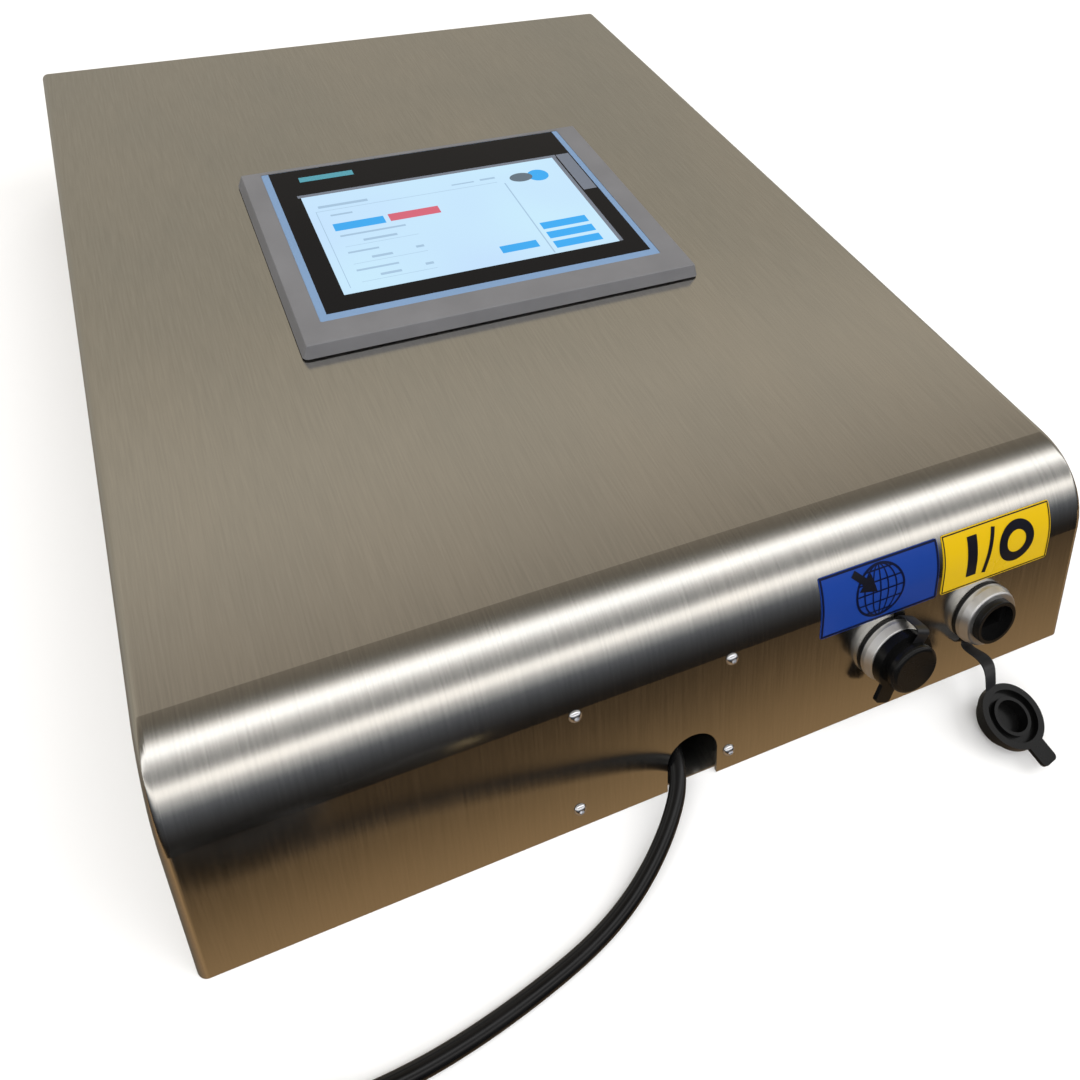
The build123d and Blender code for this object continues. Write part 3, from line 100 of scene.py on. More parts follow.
room_tones = [
    (0, (0.40, 0.375, 0.32)), (40, (0.41, 0.37, 0.30)), (49, (0.52, 0.47, 0.385)), (57, (0.42, 0.37, 0.30)),
    (64, (0.24, 0.205, 0.165)), (72, (0.15, 0.13, 0.10)), (79, (0.19, 0.18, 0.16)), (86, (0.40, 0.39, 0.37)),
    (92, (1.35, 1.3, 1.25)), (96, (2.0, 2.0, 2.0)), (103, (1.9, 1.9, 1.9)), (109, (1.0, 0.98, 0.97)),
    (117, (0.48, 0.48, 0.48)), (126, (0.34, 0.34, 0.34)), (132, (0.9, 0.88, 0.86)), (136, (1.8, 1.75, 1.7)),
    (142, (1.6, 1.55, 1.5)), (148, (0.75, 0.74, 0.74)), (155, (0.40, 0.41, 0.42)), (162, (0.13, 0.14, 0.16)),
    (172, (0.075, 0.08, 0.09)), (182, (0.045, 0.045, 0.047)), (197, (0.012, 0.010, 0.008)),
    (208.5, (0.014, 0.010, 0.007)), (211, (0.30, 0.19, 0.09)), (214, (0.52, 0.33, 0.16)),
    (222, (0.34, 0.22, 0.12)), (270, (0.16, 0.13, 0.10)), (330, (0.3, 0.27, 0.23)), (359, (0.40, 0.375, 0.32)),
]
stops = tones.color_ramp.elements
stops[0].position, stops[0].color = 0.0, (*room_tones[0][1], 1)
stops[1].position, stops[1].color = room_tones[-1][0] / 360, (*room_tones[-1][1], 1)
for angle, tone in room_tones[1:-1]:
    stop = stops.new(angle / 360)
    stop.color = (*tone, 1)
plain = tree.nodes.new("ShaderNodeMixRGB")
plain.inputs[2].default_value = (0.92, 0.92, 0.92, 1)
seen = tree.nodes.new("ShaderNodeLightPath")
tree.links.new(seen.outputs["Is Camera Ray"], plain.inputs[0])
tree.links.new(tones.outputs[0], plain.inputs[1])
tree.links.new(plain.outputs[0], tree.nodes["Background"].inputs["Color"])


def soft_light(name, place, aim, size, power):
    """A wide soft light that fills in matt surfaces and isn't mirrored in the steel."""
    lamp = bpy.data.lights.new(name, "AREA")
    lamp.shape = "SQUARE"
    lamp.size = size
    lamp.energy = power
    light = bpy.data.objects.new(name, lamp)
    scene.collection.objects.link(light)
    light.location = place
    light.rotation_euler = (Vector(aim) - Vector(place)).to_track_quat("-Z", "Y").to_euler()
    light.visible_glossy = False


soft_light("light_left", (-1.1, -0.9, 1.7), (0, 0, 0), 1.6, 26)
soft_light("light_right", (1.2, -0.7, 1.5), (0, 0, 0), 1.6, 14)
soft_light("light_back", (0.2, 1.3, 1.8), (0, 0, 0), 1.6, 12)

# Mains lead: 1.8 m of 7 mm round three-core cable with a smooth glossy black sheath. It leaves
# the gland behind the notch, drops to the bench, and what isn't needed is wound up and tied.
MM = 0.001


def finish(name, rough, metal=0.0):
    """An empty finish with its roughness and whether it is metal."""
    made = bpy.data.materials.new(name)
    made.use_nodes = True
    shader = made.node_tree.nodes["Principled BSDF"]
    shader.inputs["Roughness"].default_value = rough
    shader.inputs["Metallic"].default_value = metal
    return made, made.node_tree, shader


def grain(tree, stretch, detail=4.0, softness=0.55):
    """A fine uneven pattern on the piece's own coordinates; stretch is how often it repeats a metre."""
    where = tree.nodes.new("ShaderNodeTexCoord")
    fit = tree.nodes.new("ShaderNodeMapping")
    fit.inputs["Scale"].default_value = stretch
    noise = tree.nodes.new("ShaderNodeTexNoise")
    noise.inputs["Scale"].default_value = 1.0
    noise.inputs["Detail"].default_value = detail
    noise.inputs["Roughness"].default_value = softness
    tree.links.new(where.outputs["Object"], fit.inputs["Vector"])
    tree.links.new(fit.outputs[0], noise.inputs["Vector"])
    return noise.outputs[0]


def between(tree, pattern, low, high, start=0.3, end=0.7):
    """The pattern taken from its own range to another one."""
    node = tree.nodes.new("ShaderNodeMapRange")
    for place, value in zip(("From Min", "From Max", "To Min", "To Max"), (start, end, low, high)):
        node.inputs[place].default_value = value
    tree.links.new(pattern, node.inputs["Value"])
    return node.outputs[0]


def two_tone(tree, pattern, dark, light):
    """A colour that wanders between two close tones."""
    node = tree.nodes.new("ShaderNodeMixRGB")
    node.inputs[1].default_value = (*dark, 1)
    node.inputs[2].default_value = (*light, 1)
    tree.links.new(between(tree, pattern, 0, 1), node.inputs[0])
    return node.outputs[0]


def relief(tree, shader, pattern, depth, strength=0.4):
    """Raises the surface by the pattern, depth in metres."""
    node = tree.nodes.new("ShaderNodeBump")
    node.inputs["Strength"].default_value = strength
    node.inputs["Distance"].default_value = depth
    tree.links.new(pattern, node.inputs["Height"])
    tree.links.new(node.outputs[0], shader.inputs["Normal"])


def moulding(name, dark, light, rough, size=0.0006, depth=0.00004, patch=0.03, shine=0.4):
    """A moulded plastic or rubber: fine texture from the tool, and slightly uneven colour and gloss."""
    made, tree, shader = finish(name, rough)
    shader.inputs["Specular IOR Level"].default_value = shine
    broad = grain(tree, (1 / patch,) * 3)
    fine = grain(tree, (1 / size,) * 3, 2.0)
    tree.links.new(two_tone(tree, broad, dark, light), shader.inputs["Base Color"])
    tree.links.new(between(tree, broad, rough - 0.05, rough + 0.06), shader.inputs["Roughness"])
    relief(tree, shader, fine, depth)
    return made


def dress(made, *names):
    """Packed parts take their finish."""
    for name in names:
        for place in parts[name].material_slots:
            place.material = made


lead_sheath = moulding(
    "lead_sheath", (0.002, 0.002, 0.0022), (0.004, 0.004, 0.0043), 0.24,
    size=0.004, depth=0.00006, patch=0.02, shine=0.25,
)
lead_sheath.node_tree.nodes["Principled BSDF"].inputs["Coat Weight"].default_value = 0.12
way = [
    (-7, -246, 13), (-7, -257, 13), (-8.8, -269, 13), (-14.2, -280.5, 11.8), (-24, -291, 9.6),
    (-36.5, -301, 6.8), (-51.5, -310, 4.4), (-70, -317.5, 3.5), (-94, -323.5, 3.5),
    (-120, -328.2, 3.5), (-143.5, -330.5, 3.5), (-166, -330.5, 3.5),
]
coil_middle = Vector((-190, -374.5, 0))
coil_points = 16
spline_inside = 0.981
lead_radius = 3.5
coil_columns = [44.0, 36.9, 29.8]
coil_rounds = [(0, 3.5), (1, 3.5), (2, 3.5), (2, 10.7), (1, 10.7), (0, 10.7), (0, 17.9)]
for place, (column, level) in enumerate(coil_rounds):
    last_round = place == len(coil_rounds) - 1
    for step in range(coil_points // 2 if last_round else coil_points):
        angle = pi / 2 + tau * (step + 0.5) / coil_points
        reach = coil_columns[column] / spline_inside
        lift = level
        if step == 0 and place:
            before = coil_rounds[place - 1]
            reach = (reach + coil_columns[before[0]] / spline_inside) / 2
            lift = (level + before[1]) / 2
        way.append(tuple(coil_middle + Vector((reach * cos(angle), reach * sin(angle), lift))))
way += [(-178, -418.6, 17.9), (-166, -418.5, 17.9), (-158, -418.5, 17.9), (-149, -418.5, 18.5), (-142, -418.5, 18.5)]
lead_line = bpy.data.curves.new("mains_lead", "CURVE")
lead_line.dimensions = "3D"
run = lead_line.splines.new("NURBS")
run.points.add(len(way) - 1)
for point, place in zip(run.points, way):
    point.co = (*(Vector(place) * MM), 1)
run.order_u = 3
run.use_endpoint_u = True
run.resolution_u = 6
lead_line.bevel_depth = lead_radius * MM
lead_line.bevel_resolution = 5
lead_line.use_fill_caps = True
lead_line.materials.append(lead_sheath)
mains_lead = bpy.data.objects.new("mains_lead", lead_line)
scene.collection.objects.link(mains_lead)
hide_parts("mains_cable", "mains_cable_coil", "mains_plug_lead")
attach(mains_lead, "housing")
bare_line = bpy.data.objects.new("bare_line", lead_line.copy())
bare_line.data.bevel_depth = 0
bare_mesh = bpy.data.meshes.new_from_object(bare_line)
bpy.data.objects.remove(bare_line)
bpy.data.meshes.remove(bare_mesh)

# Plug, its sleeve and the gland: moulded black plastic and rubber; the tie is a woven
# hook-and-loop band. The pins are nickel-plated brass.
plug_plastic = moulding("plug_plastic", (0.012, 0.012, 0.013), (0.02, 0.02, 0.021), 0.45)
soft_rubber = moulding("soft_rubber", (0.014, 0.014, 0.015), (0.026, 0.026, 0.027), 0.58, 0.0004, 0.00005)
tie_weave = moulding("tie_weave", (0.01, 0.01, 0.011), (0.03, 0.03, 0.032), 0.9, 0.0009, 0.0004, 0.002)


def plating(name, colour, rough, metal=1.0, patch=0.004):
    """A plated or turned metal, with faint wear in its gloss."""
    made, tree, shader = finish(name, rough, metal)
    wear = grain(tree, (1 / patch,) * 3)
    darker = tuple(c * 0.88 for c in colour)
    tree.links.new(two_tone(tree, wear, darker, colour), shader.inputs["Base Color"])
    tree.links.new(between(tree, wear, rough * 0.7, rough * 1.4), shader.inputs["Roughness"])
    relief(tree, shader, wear, 0.00002, 0.15)
    return made


nickel_brass = plating("nickel_brass", (0.74, 0.62, 0.38), 0.22)
dress(plug_plastic, "mains_plug", "gland_body", "gland_nut", "gland_locknut")
dress(soft_rubber, "mains_plug_relief", "gland_strain_relief")
dress(tie_weave, "mains_cable_tie")
dress(nickel_brass, "mains_plug_pins")

# Case hood, base plate and gland bracket: 1.5 mm stainless sheet with a satin brushed face, its
# grain from front to back. The bends are pressed, the corners welded and ground flush.


def brushed_sheet(name, dull, warm, rough):
    """Satin sheet: long fine scratches along the case, and broad soft stains in its tone."""
    made, tree, shader = finish(name, rough, 1.0)
    where = tree.nodes.new("ShaderNodeTexCoord")
    sides = tree.nodes.new("ShaderNodeSeparateXYZ")
    tree.links.new(where.outputs["Normal"], sides.inputs[0])
    upright = tree.nodes.new("ShaderNodeMath")
    upright.operation = "ABSOLUTE"
    tree.links.new(sides.outputs["X"], upright.inputs[0])
    scratches = tree.nodes.new("ShaderNodeMix")
    tree.links.new(upright.outputs[0], scratches.inputs["Factor"])
    tree.links.new(grain(tree, (1000, 36, 36), 3.0, 0.7), scratches.inputs["A"])
    tree.links.new(grain(tree, (36, 36, 1000), 3.0, 0.7), scratches.inputs["B"])
    lines = scratches.outputs["Result"]
    stain = grain(tree, (9, 5, 9), 5.0, 0.6)
    base = two_tone(tree, stain, dull, warm)
    streak = tree.nodes.new("ShaderNodeMixRGB")
    streak.blend_type = "MULTIPLY"
    streak.inputs[0].default_value = 1.0
    tree.links.new(base, streak.inputs[1])
    tree.links.new(between(tree, lines, 0.93, 1.05), streak.inputs[2])
    tree.links.new(streak.outputs[0], shader.inputs["Base Color"])
    tree.links.new(between(tree, lines, rough - 0.015, rough + 0.02), shader.inputs["Roughness"])
    relief(tree, shader, lines, 0.00001, 0.05)
    return made


satin_steel = brushed_sheet("satin_steel", (0.565, 0.56, 0.535), (0.62, 0.60, 0.56), 0.17)
dress(satin_steel, "hood", "base_plate", "gland_bracket")

# Screws and nuts: bright zinc-plated M3 dome heads with a hexagon socket through the front,
# plain nuts behind them, and countersunk M4 screws in the base.
bright_zinc = plating("bright_zinc", (0.80, 0.81, 0.84), 0.2)
dress(bright_zinc, "front_nuts", "base_screws", "rail_screws", "board_screws", "panel_clamp_screws", "terminal_rail")

LEAN = radians(20)
FACE_LENGTH = 62.81
BEND_RADIUS = 41.0
BEND_MIDDLE = Vector((0, -215.99, 45.0))


def on_front(across, up, out):
    """A place on the front sheet, in millimetres: across, up the slope and over its bend, and out from the steel."""
    turned = LEAN + max(0.0, up - FACE_LENGTH) / BEND_RADIUS
    square = Vector((0, -cos(turned), sin(turned)))
    if up > FACE_LENGTH:
        return Vector((across, 0, 0)) + BEND_MIDDLE + square * (BEND_RADIUS + out)
    return Vector((across, -276 + up * sin(LEAN), up * cos(LEAN))) + square * out


def place_of_front(across, up):
    """The matrix that sets a piece made flat on the floor onto the front sheet there."""
    right, slope = Vector((1, 0, 0)), Vector((0, sin(LEAN), cos(LEAN)))
    out = right.cross(slope)
    spot = on_front(across, up, 0)
    return Matrix(((right.x, slope.x, out.x, spot.x), (right.y, slope.y, out.y, spot.y),
                   (right.z, slope.z, out.z, spot.z), (0, 0, 0, 1)))


def made_piece(name, work, made, stands_for=(), body="housing", crease=32):
    """Turns finished mesh work in millimetres into a piece that rides with its body."""
    bmesh.ops.scale(work, vec=(MM, MM, MM), verts=work.verts)
    mesh = bpy.data.meshes.new(name)
    work.to_mesh(mesh)
    work.free()
    for face in mesh.polygons:
        face.use_smooth = True
    mesh.set_sharp_from_angle(angle=radians(crease))
    mesh.materials.append(made)
    piece = bpy.data.objects.new(name, mesh)
    scene.collection.objects.link(piece)
    if stands_for:
        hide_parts(*stands_for)
    if body:
        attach(piece, body)
    return piece


def turned_shape(work, outline, steps=64):
    """Spins an outline of radius and height pairs into a round shape about the vertical."""
    start = [work.verts.new((r, 0, h)) for r, h in outline]
    edges = [work.edges.new(pair) for pair in zip(start, start[1:] + start[:1])]
    bmesh.ops.spin(work, geom=start + edges, cent=(0, 0, 0), axis=(0, 0, 1), angle=tau, steps=steps, use_merge=True)
    bmesh.ops.remove_doubles(work, verts=work.verts, dist=0.0005)
    bmesh.ops.recalc_face_normals(work, faces=work.faces)


screw_head = [
    (0.0, 0.75), (1.0, 0.75), (1.0, 1.62), (1.12, 1.65), (1.5, 1.53), (2.0, 1.24),
    (2.4, 0.85), (2.7, 0.4), (2.85, 0.02), (2.85, -0.02), (0.0, -0.02),
]
screw_middle = (-19.7, 35.0)
screw_spread = (35.25, 25.0)
screw_work = bmesh.new()
for side in (-1, 1):
    for level in (-1, 1):
        one = bmesh.new()
        turned_shape(one, screw_head, 36)
        for vert in one.verts:
            ring = (vert.co.x**2 + vert.co.y**2) ** 0.5
            if 0.9 < ring < 1.05:
                angle = (Vector((vert.co.x, vert.co.y)).angle_signed(Vector((1, 0)), 0.0)) % (pi / 3)
                grown = cos(pi / 6) / cos(angle - pi / 6) * 1.15
                vert.co.x, vert.co.y = vert.co.x * grown, vert.co.y * grown
        across = screw_middle[0] + side * screw_spread[0]
        up = screw_middle[1] + level * screw_spread[1]
        bmesh.ops.transform(one, matrix=place_of_front(across, up), verts=one.verts)
        scratch = bpy.data.meshes.new("one_screw")
        one.to_mesh(scratch)
        one.free()
        screw_work.from_mesh(scratch)
        bpy.data.meshes.remove(scratch)
front_screw_heads = made_piece("front_screw_heads", screw_work, bright_zinc, ("front_screws",), crease=50)

# Operator panel: a seven-inch touch screen in a moulded grey bezel, pressed down onto a foam
# seal by clamps inside the case. Its front film is printed black with a pale blue line, and the
# display shines through the window.
bezel_plastic = moulding("bezel_plastic", (0.135, 0.135, 0.142), (0.16, 0.16, 0.168), 0.5, 0.0005, 0.00003)
dress(bezel_plastic, "panel_bezel")
dress(soft_rubber, "panel_seal")
dress(moulding("housing_plastic", (0.03, 0.03, 0.032), (0.045, 0.045, 0.047), 0.5), "panel_housing", "panel_clamps")


def film(name, colour, rough=0.22, glow=0.0, second=None, shine=0.2):
    """A smooth printed film or ink; glow makes it shine like a display."""
    made, tree, shader = finish(name, rough)
    shader.inputs["Specular IOR Level"].default_value = shine
    cloud = grain(tree, (7, 7, 7), 2.0)
    other = second or tuple(c * 0.9 for c in colour)
    tint = two_tone(tree, cloud, other, colour)
    tree.links.new(between(tree, grain(tree, (60, 60, 60)), rough - 0.03, rough + 0.05), shader.inputs["Roughness"])
    if glow:
        shader.inputs["Base Color"].default_value = (0.02, 0.02, 0.02, 1)
        tree.links.new(tint, shader.inputs["Emission Color"])
        shader.inputs["Emission Strength"].default_value = glow
    else:
        tree.links.new(tint, shader.inputs["Base Color"])
    return made


def flat_bar(work, x0, y0, x1, y1, level, turn=0.0, steps=2):
    """A flat rectangle at a level, turned about its own middle."""
    middle = Matrix.Translation(((x0 + x1) / 2, (y0 + y1) / 2, level)) @ Matrix.Rotation(turn, 4, "Z")
    size = Matrix.Diagonal((abs(x1 - x0), abs(y1 - y0), 1, 1))
    bmesh.ops.create_grid(work, x_segments=steps, y_segments=steps, size=0.5, matrix=middle @ size)


def flat_ring(work, x, y, across, tall, stroke, level, steps=64):
    """A flat oval band; stroke is its width, or more than its radius for a filled oval."""
    middle = Matrix.Translation((x, y, level))
    outer = bmesh.ops.create_circle(work, cap_ends=False, segments=steps, radius=1,
                                    matrix=middle @ Matrix.Diagonal((across, tall, 1, 1)))["verts"]
    inner = (max(across - stroke, across * 0.01), max(tall - stroke, tall * 0.01))
    inside = bmesh.ops.create_circle(work, cap_ends=False, segments=steps, radius=1,
                                     matrix=middle @ Matrix.Diagonal((*inner, 1, 1)))["verts"]
    rim = {edge for vert in outer + inside for edge in vert.link_edges}
    bmesh.ops.bridge_loops(work, edges=list(rim))
    bmesh.ops.recalc_face_normals(work, faces=work.faces)


def face_up(work):
    """Turns every face of flat ink so that it looks up."""
    work.normal_update()
    bmesh.ops.reverse_faces(work, faces=[face for face in work.faces if face.normal.z < 0])


# Heights of the film's printed layers, each a hair above the one below.
BLACK_INK, FRAME_INK, DISPLAY, DISPLAY_MARK, DISPLAY_BADGE = 93.44, 93.47, 93.5, 93.53, 93.56
plate_work = bmesh.new()
plate_place = Matrix.Translation((-2.1, 25.875, 92.95)) @ Matrix.Diagonal((189.4, 138.5, 0.9, 1))
bmesh.ops.create_cube(plate_work, size=1, matrix=plate_place)
upright = [edge for edge in plate_work.edges if abs(edge.verts[0].co.z - edge.verts[1].co.z) > 0.5]
bmesh.ops.bevel(plate_work, geom=upright, offset=1.0, affect="EDGES", segments=4, profile=0.5, material=-1)
line_ink = film("panel_line_ink", (0.17, 0.27, 0.43), 0.35)
panel_line = made_piece("panel_line", plate_work, line_ink, ("panel_glass",))

black_work = bmesh.new()
flat_bar(black_work, -92.6, -38.4, 89.0, 95.0, BLACK_INK)
black_film = film("panel_black_ink", (0.006, 0.006, 0.007), 0.2, shine=0.15)
panel_black = made_piece("panel_black", black_work, black_film)

frame_work = bmesh.new()
flat_bar(frame_work, -82.0, 65.6, 79.0, 68.2, FRAME_INK)
flat_bar(frame_work, 76.1, -26.2, 78.6, 65.6, FRAME_INK)
flat_bar(frame_work, 79.6, 27.0, 88.2, 68.0, FRAME_INK)
frame_ink = film("panel_frame_ink", (0.14, 0.16, 0.20), 0.35)
panel_frame = made_piece("panel_frame", frame_work, frame_ink)

lit_work = bmesh.new()
flat_bar(lit_work, -80.4, -26.4, 76.1, 65.6, DISPLAY, steps=12)
screen_white = film("screen_white", (0.60, 0.88, 1.0), 0.2, 0.95, second=(0.54, 0.74, 1.0))
screen_lit = made_piece("screen_lit", lit_work, screen_white, ("panel_screen",))

soft_work = bmesh.new()
flat_bar(soft_work, 36.6, -25.4, 37.4, 47.0, DISPLAY_MARK)
flat_bar(soft_work, -73.6, 52.2, -45.0, 54.6, DISPLAY_MARK)
flat_bar(soft_work, 6.0, 53.2, 20.0, 54.4, DISPLAY_MARK)
flat_bar(soft_work, 24.0, 53.4, 33.5, 55.2, DISPLAY_MARK)
flat_bar(soft_work, -76.0, 49.0, 33.0, 49.4, DISPLAY_MARK)
flat_bar(soft_work, -76.0, -22.0, -75.6, 49.0, DISPLAY_MARK)
for up, wide in ((43.0, 12.5), (22.4, 37.0), (6.6, 17.0), (-9.6, 23.0)):
    flat_bar(soft_work, -69.0, up, -69.0 + wide, up + 1.6, DISPLAY_MARK)
for up, wide in ((15.4, 19.0), (-0.6, 11.5), (-16.4, 11.5)):
    flat_bar(soft_work, -58.0, up, -58.0 + wide, up + 2.0, DISPLAY_MARK)
    flat_bar(soft_work, -69.0, up - 2.6, -28.0, up - 2.3, DISPLAY_MARK)
for up in (1.0, -15.0):
    flat_bar(soft_work, -33.0, up, -28.5, up + 2.0, DISPLAY_MARK)
screen_lines = made_piece("screen_lines", soft_work, film("screen_grey", (0.42, 0.62, 0.82), 0.3, 0.9))

blue_work = bmesh.new()
flat_bar(blue_work, -70.2, 28.4, -41.4, 35.4, DISPLAY_MARK)
for up in (-3.6, -12.8, -22.0):
    flat_bar(blue_work, 40.0, up, 68.2, up + 6.4, DISPLAY_MARK)
flat_bar(blue_work, 9.8, -17.8, 31.6, -11.4, DISPLAY_MARK)
flat_ring(blue_work, 59.6, 49.6, 6.6, 6.0, 9.0, DISPLAY_MARK, 40)
face_up(blue_work)
azure = film("screen_azure", (0.022, 0.42, 0.95), 0.3, 0.95)
screen_buttons = made_piece("screen_buttons", blue_work, azure)

red_work = bmesh.new()
flat_bar(red_work, -38.6, 29.0, -9.0, 36.0, DISPLAY_MARK)
screen_stop = made_piece("screen_stop", red_work, film("screen_rose", (0.76, 0.13, 0.20), 0.3, 0.9))

grey_work = bmesh.new()
flat_ring(grey_work, 48.8, 50.2, 7.2, 4.6, 9.0, DISPLAY_BADGE, 40)
face_up(grey_work)
screen_badge = made_piece("screen_badge", grey_work, film("screen_slate", (0.12, 0.17, 0.22), 0.3, 0.9))
plate_bar = bmesh.new()
flat_bar(plate_bar, -77.0, 81.6, -45.0, 86.6, DISPLAY)
panel_tag = made_piece("panel_tag", plate_bar, film("panel_tag_ink", (0.07, 0.27, 0.34), 0.3))

# Data ports: a moulded 22 mm insert screwed in from behind, held by a satin collar, with a
# strap ring trapped under it. The right-hand port is open and shows its mouth.
satin_collar = plating("satin_collar", (0.80, 0.80, 0.79), 0.42, 1.0, 0.012)
port_plastic = moulding("port_plastic", (0.0025, 0.0025, 0.0025), (0.005, 0.005, 0.005), 0.3, shine=0.22)
dress(satin_collar, "network_port_collar", "io_port_collar", "head_socket")
dress(port_plastic, "network_port_body", "io_port_body", "port_locknuts")
dress(plating("jack_shell", (0.72, 0.73, 0.74), 0.3), "port_jacks")
dress(bright_zinc, "head_socket_nut")

# Port caps: soft black rubber mouldings, each on a flat strap that runs from its ring to the
# cap's rim.
PORT_UP = 34.5
NETWORK_X, IO_X = 97.0, 150.5
cap_rubber = moulding("cap_rubber", (0.0025,) * 3, (0.005,) * 3, 0.27, 0.0005, 0.00003, shine=0.22)
strap_rubber = moulding(
    "strap_rubber", (0.009, 0.009, 0.010), (0.018, 0.018, 0.019), 0.34, 0.0005, 0.00003, shine=0.3,
)
dress(cap_rubber, "network_cap", "io_cap")


def at_port(across, turn, down, side, out):
    """A place by a port: down along the strap's direction, sideways from it, and out from the steel."""
    x = -sin(turn) * down + cos(turn) * side
    up = -cos(turn) * down - sin(turn) * side
    slope, square = Vector((0, sin(LEAN), cos(LEAN))), Vector((0, -cos(LEAN), sin(LEAN)))
    return Vector((across + x, -276, 0)) + slope * (PORT_UP + up) + square * out


def cap_strap(name, line, first_side, last_side, stands_for):
    """A flat rubber strap along a smooth line, its width turning from one direction to another."""
    curve = bpy.data.curves.new(name + "_line", "CURVE")
    curve.dimensions = "3D"
    run = curve.splines.new("NURBS")
    run.points.add(len(line) - 1)
    for point, place in zip(run.points, line):
        point.co = (*place, 1)
    run.order_u = 3
    run.use_endpoint_u = True
    run.resolution_u = 8
    holder = bpy.data.objects.new(name + "_line", curve)
    mesh = bpy.data.meshes.new_from_object(holder)
    middle = [vert.co.copy() for vert in mesh.vertices]
    bpy.data.objects.remove(holder)
    bpy.data.meshes.remove(mesh)
    work = bmesh.new()
    bmesh.ops.create_grid(work, x_segments=len(middle) - 1, y_segments=4, size=0.5)
    for vert in work.verts:
        share = vert.co.x + 0.5
        place = middle[round(share * (len(middle) - 1))]
        side = first_side.lerp(last_side, share).normalized()
        vert.co = place + side * (7.0 * vert.co.y)
    bmesh.ops.solidify(work, geom=work.faces, thickness=0.8)
    bmesh.ops.recalc_face_normals(work, faces=work.faces)
    strap = made_piece(name, work, strap_rubber, stands_for, body=None, crease=50)
    thick = strap.modifiers.new("rounded", "BEVEL")
    thick.width = 0.0003
    thick.segments = 2
    thick.limit_method = "ANGLE"
    return strap


def strap_ring_piece(name, across, node):
    """The flat ring that holds a strap's root under the collar."""
    work = bmesh.new()
    turned_shape(work, [(11.3, 0.05), (14.7, 0.05), (14.8, 0.2), (14.8, 1.0), (14.7, 1.15), (11.3, 1.15)])
    bmesh.ops.transform(work, matrix=place_of_front(across, PORT_UP), verts=work.verts)
    return made_piece(name, work, strap_rubber, (node,))


io_turn, network_turn = radians(22), radians(202)
io_ring = strap_ring_piece("io_ring", IO_X, "io_strap_ring")
network_ring = strap_ring_piece("network_ring", NETWORK_X, "network_strap_ring")

io_line = [at_port(IO_X, io_turn, down, 0, out)
           for down, out in ((13, 0.7), (16.2, 0.7), (17.8, 2.2), (17.7, 6), (17.2, 10.5))]
io_line += [Vector((143.0, -284.2, 22.4)), Vector((141.2, -288.8, 20.6)), Vector((139.4, -293.3, 15.8))]
io_side = at_port(IO_X, io_turn, 0, 1, 0) - at_port(IO_X, io_turn, 0, 0, 0)
io_strap = cap_strap("io_strap", io_line, io_side, Vector((0.978, 0.2, 0.05)), ("io_cap_strap",))
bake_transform(io_strap)

network_line = [at_port(NETWORK_X, network_turn, down, 0, out) for down, out in (
    (13, 0.7), (16.4, 0.7), (18.0, 2.4), (18.1, 7), (18.0, 11.4), (16.6, 13.6), (13.6, 13.2), (10.9, 12.9),
)]
network_side = at_port(NETWORK_X, network_turn, 0, 1, 0) - at_port(NETWORK_X, network_turn, 0, 0, 0)
network_strap = cap_strap("network_strap", network_line, network_side, network_side, ("network_cap_strap",))
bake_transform(network_strap)

# Labels: printed vinyl, stuck on above the ports, their upper part following the bend. The blue
# one shows a globe of thin lines with a pointer, the yellow one the input and output mark.
LABEL_WIDTH, LABEL_HEIGHT, LABEL_FOOT = 62.5, 29.4, 52.8
NETWORK_LABEL_LEFT, IO_LABEL_LEFT = 59.25, 124.15


def wrap(work, left, foot=LABEL_FOOT):
    """Lays flat work, drawn in millimetres from a label's lower left corner, onto the front sheet."""
    for vert in work.verts:
        vert.co = on_front(left + vert.co.x, foot + vert.co.y, vert.co.z)


def label_border(work, inset, line):
    """A printed line all round a label, inset from its edge."""
    right, top = LABEL_WIDTH - inset, LABEL_HEIGHT - inset
    flat_bar(work, inset, inset, right, inset + line, 0.34, steps=24)
    flat_bar(work, inset, top - line, right, top, 0.34, steps=24)
    flat_bar(work, inset, inset + line, inset + line, top - line, 0.34, steps=24)
    flat_bar(work, right - line, inset + line, right, top - line, 0.34, steps=24)


def label_sheet(name, left, made, node):
    """The vinyl itself, 0.25 mm thick with rounded corners."""
    work = bmesh.new()
    vinyl_place = Matrix.Translation((LABEL_WIDTH / 2, LABEL_HEIGHT / 2, 0.12))
    bmesh.ops.create_cube(work, size=1, matrix=vinyl_place @ Matrix.Diagonal((LABEL_WIDTH, LABEL_HEIGHT, 0.2, 1)))
    corners = [edge for edge in work.edges if abs(edge.verts[0].co.z - edge.verts[1].co.z) > 0.1]
    bmesh.ops.bevel(work, geom=corners, offset=1.2, affect="EDGES", segments=5, profile=0.5, material=-1)
    for level in range(1, 30):
        whole = work.verts[:] + work.edges[:] + work.faces[:]
        bmesh.ops.bisect_plane(work, geom=whole, plane_co=(0, level, 0), plane_no=(0, 1, 0))
    wrap(work, left)
    return made_piece(name, work, made, (node,))


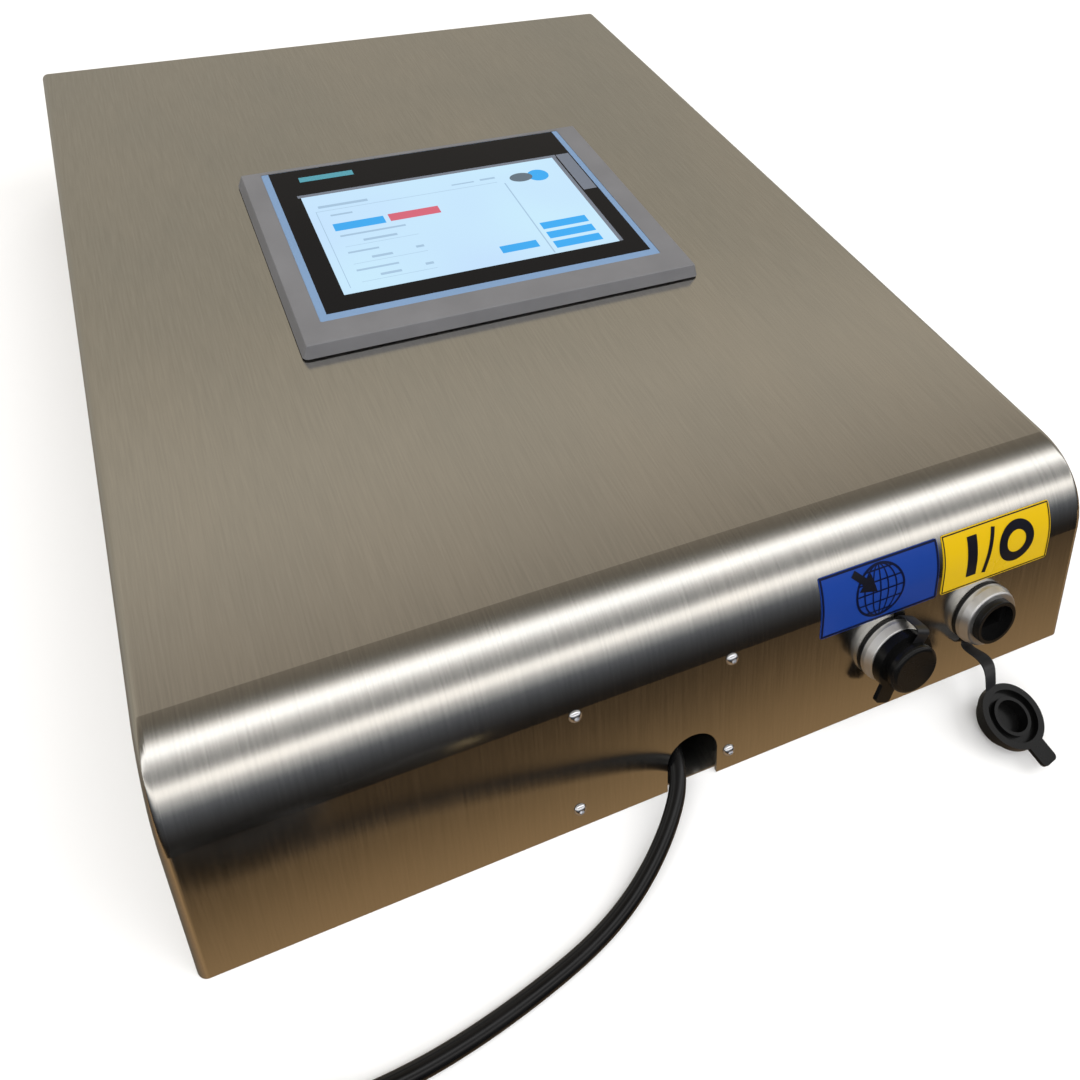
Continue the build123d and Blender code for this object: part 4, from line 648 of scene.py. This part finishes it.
blue_vinyl = film("blue_vinyl", (0.008, 0.040, 0.235), 0.3, second=(0.006, 0.032, 0.20))
blue_edge = film("blue_edge_ink", (0.002, 0.004, 0.022), 0.35)
network_sheet = label_sheet("network_sheet", NETWORK_LABEL_LEFT, blue_vinyl, "network_label")
globe_work = bmesh.new()
label_border(globe_work, 0.3, 1.0)
flat_ring(globe_work, 30.6, 14.9, 13.0, 12.9, 1.1, 0.34)
for width in (4.4, 8.8):
    flat_ring(globe_work, 30.6, 14.9, width, 12.6, 0.7, 0.35)
flat_bar(globe_work, 30.25, 2.6, 30.95, 27.2, 0.35, steps=24)
for level, half in ((4.9, 7.8), (9.9, 11.4), (14.9, 12.4), (19.9, 11.4), (24.9, 7.8)):
    flat_bar(globe_work, 30.6 - half, level - 0.35, 30.6 + half, level + 0.35, 0.36, steps=12)
face_up(globe_work)
wrap(globe_work, NETWORK_LABEL_LEFT)
network_globe = made_piece("network_globe", globe_work, blue_edge)

arrow_work = bmesh.new()
flat_bar(arrow_work, 15.8, 21.3, 25.8, 24.7, 0.38, turn=radians(-43), steps=12)
bmesh.ops.create_circle(arrow_work, cap_ends=True, segments=3, radius=5.6,
                        matrix=Matrix.Translation((24.7, 19.0, 0.39)) @ Matrix.Rotation(radians(-133), 4, "Z"))
point_edges = [edge for edge in arrow_work.edges if edge.calc_length() > 8]
bmesh.ops.subdivide_edges(arrow_work, edges=point_edges, cuts=5, use_grid_fill=True)
face_up(arrow_work)
wrap(arrow_work, NETWORK_LABEL_LEFT)
black_ink = film("black_ink", (0.006, 0.006, 0.010), 0.3)
network_pointer = made_piece("network_pointer", arrow_work, black_ink)

yellow_vinyl = film("yellow_vinyl", (0.60, 0.39, 0.002), 0.3, second=(0.56, 0.36, 0.002))
io_sheet = label_sheet("io_sheet", IO_LABEL_LEFT, yellow_vinyl, "io_label")
mark_work = bmesh.new()
label_border(mark_work, 0.5, 0.6)
flat_bar(mark_work, 13.7, 5.2, 19.3, 25.2, 0.35, steps=16)
flat_bar(mark_work, 25.3, 4.2, 27.5, 26.2, 0.35, turn=radians(-13), steps=16)
flat_ring(mark_work, 42.2, 15.3, 10.3, 10.3, 4.8, 0.36)
face_up(mark_work)
wrap(mark_work, IO_LABEL_LEFT)
io_mark = made_piece("io_mark", mark_work, black_ink)

# Inside the case: terminals on a rail, a framed power supply, a controller board on pillars,
# and the leads between them, all on the base plate under the hood.
grey_moulding = moulding("grey_moulding", (0.26, 0.27, 0.26), (0.32, 0.33, 0.32), 0.5)
board_lacquer = moulding("board_lacquer", (0.008, 0.10, 0.03), (0.014, 0.16, 0.05), 0.28, 0.001, 0.00004, 0.006)
folded_aluminium = plating("folded_aluminium", (0.68, 0.69, 0.7), 0.36, 1.0, 0.003)
core_plastic = moulding("core_plastic", (0.03, 0.07, 0.26), (0.05, 0.10, 0.34), 0.35)
dress(grey_moulding, "terminals", "terminal_end_stops", "panel_plugs")
dress(board_lacquer, "controller_board", "board_connectors", "supply_works", "panel_board")
dress(folded_aluminium, "supply_tray", "supply_cover")
dress(port_plastic, "supply_terminals", "board_chips")
dress(nickel_brass, "board_standoffs", "earth_fixing")
dress(core_plastic, "inner_cores")
dress(lead_sheath, "inner_leads", "mains_tail")
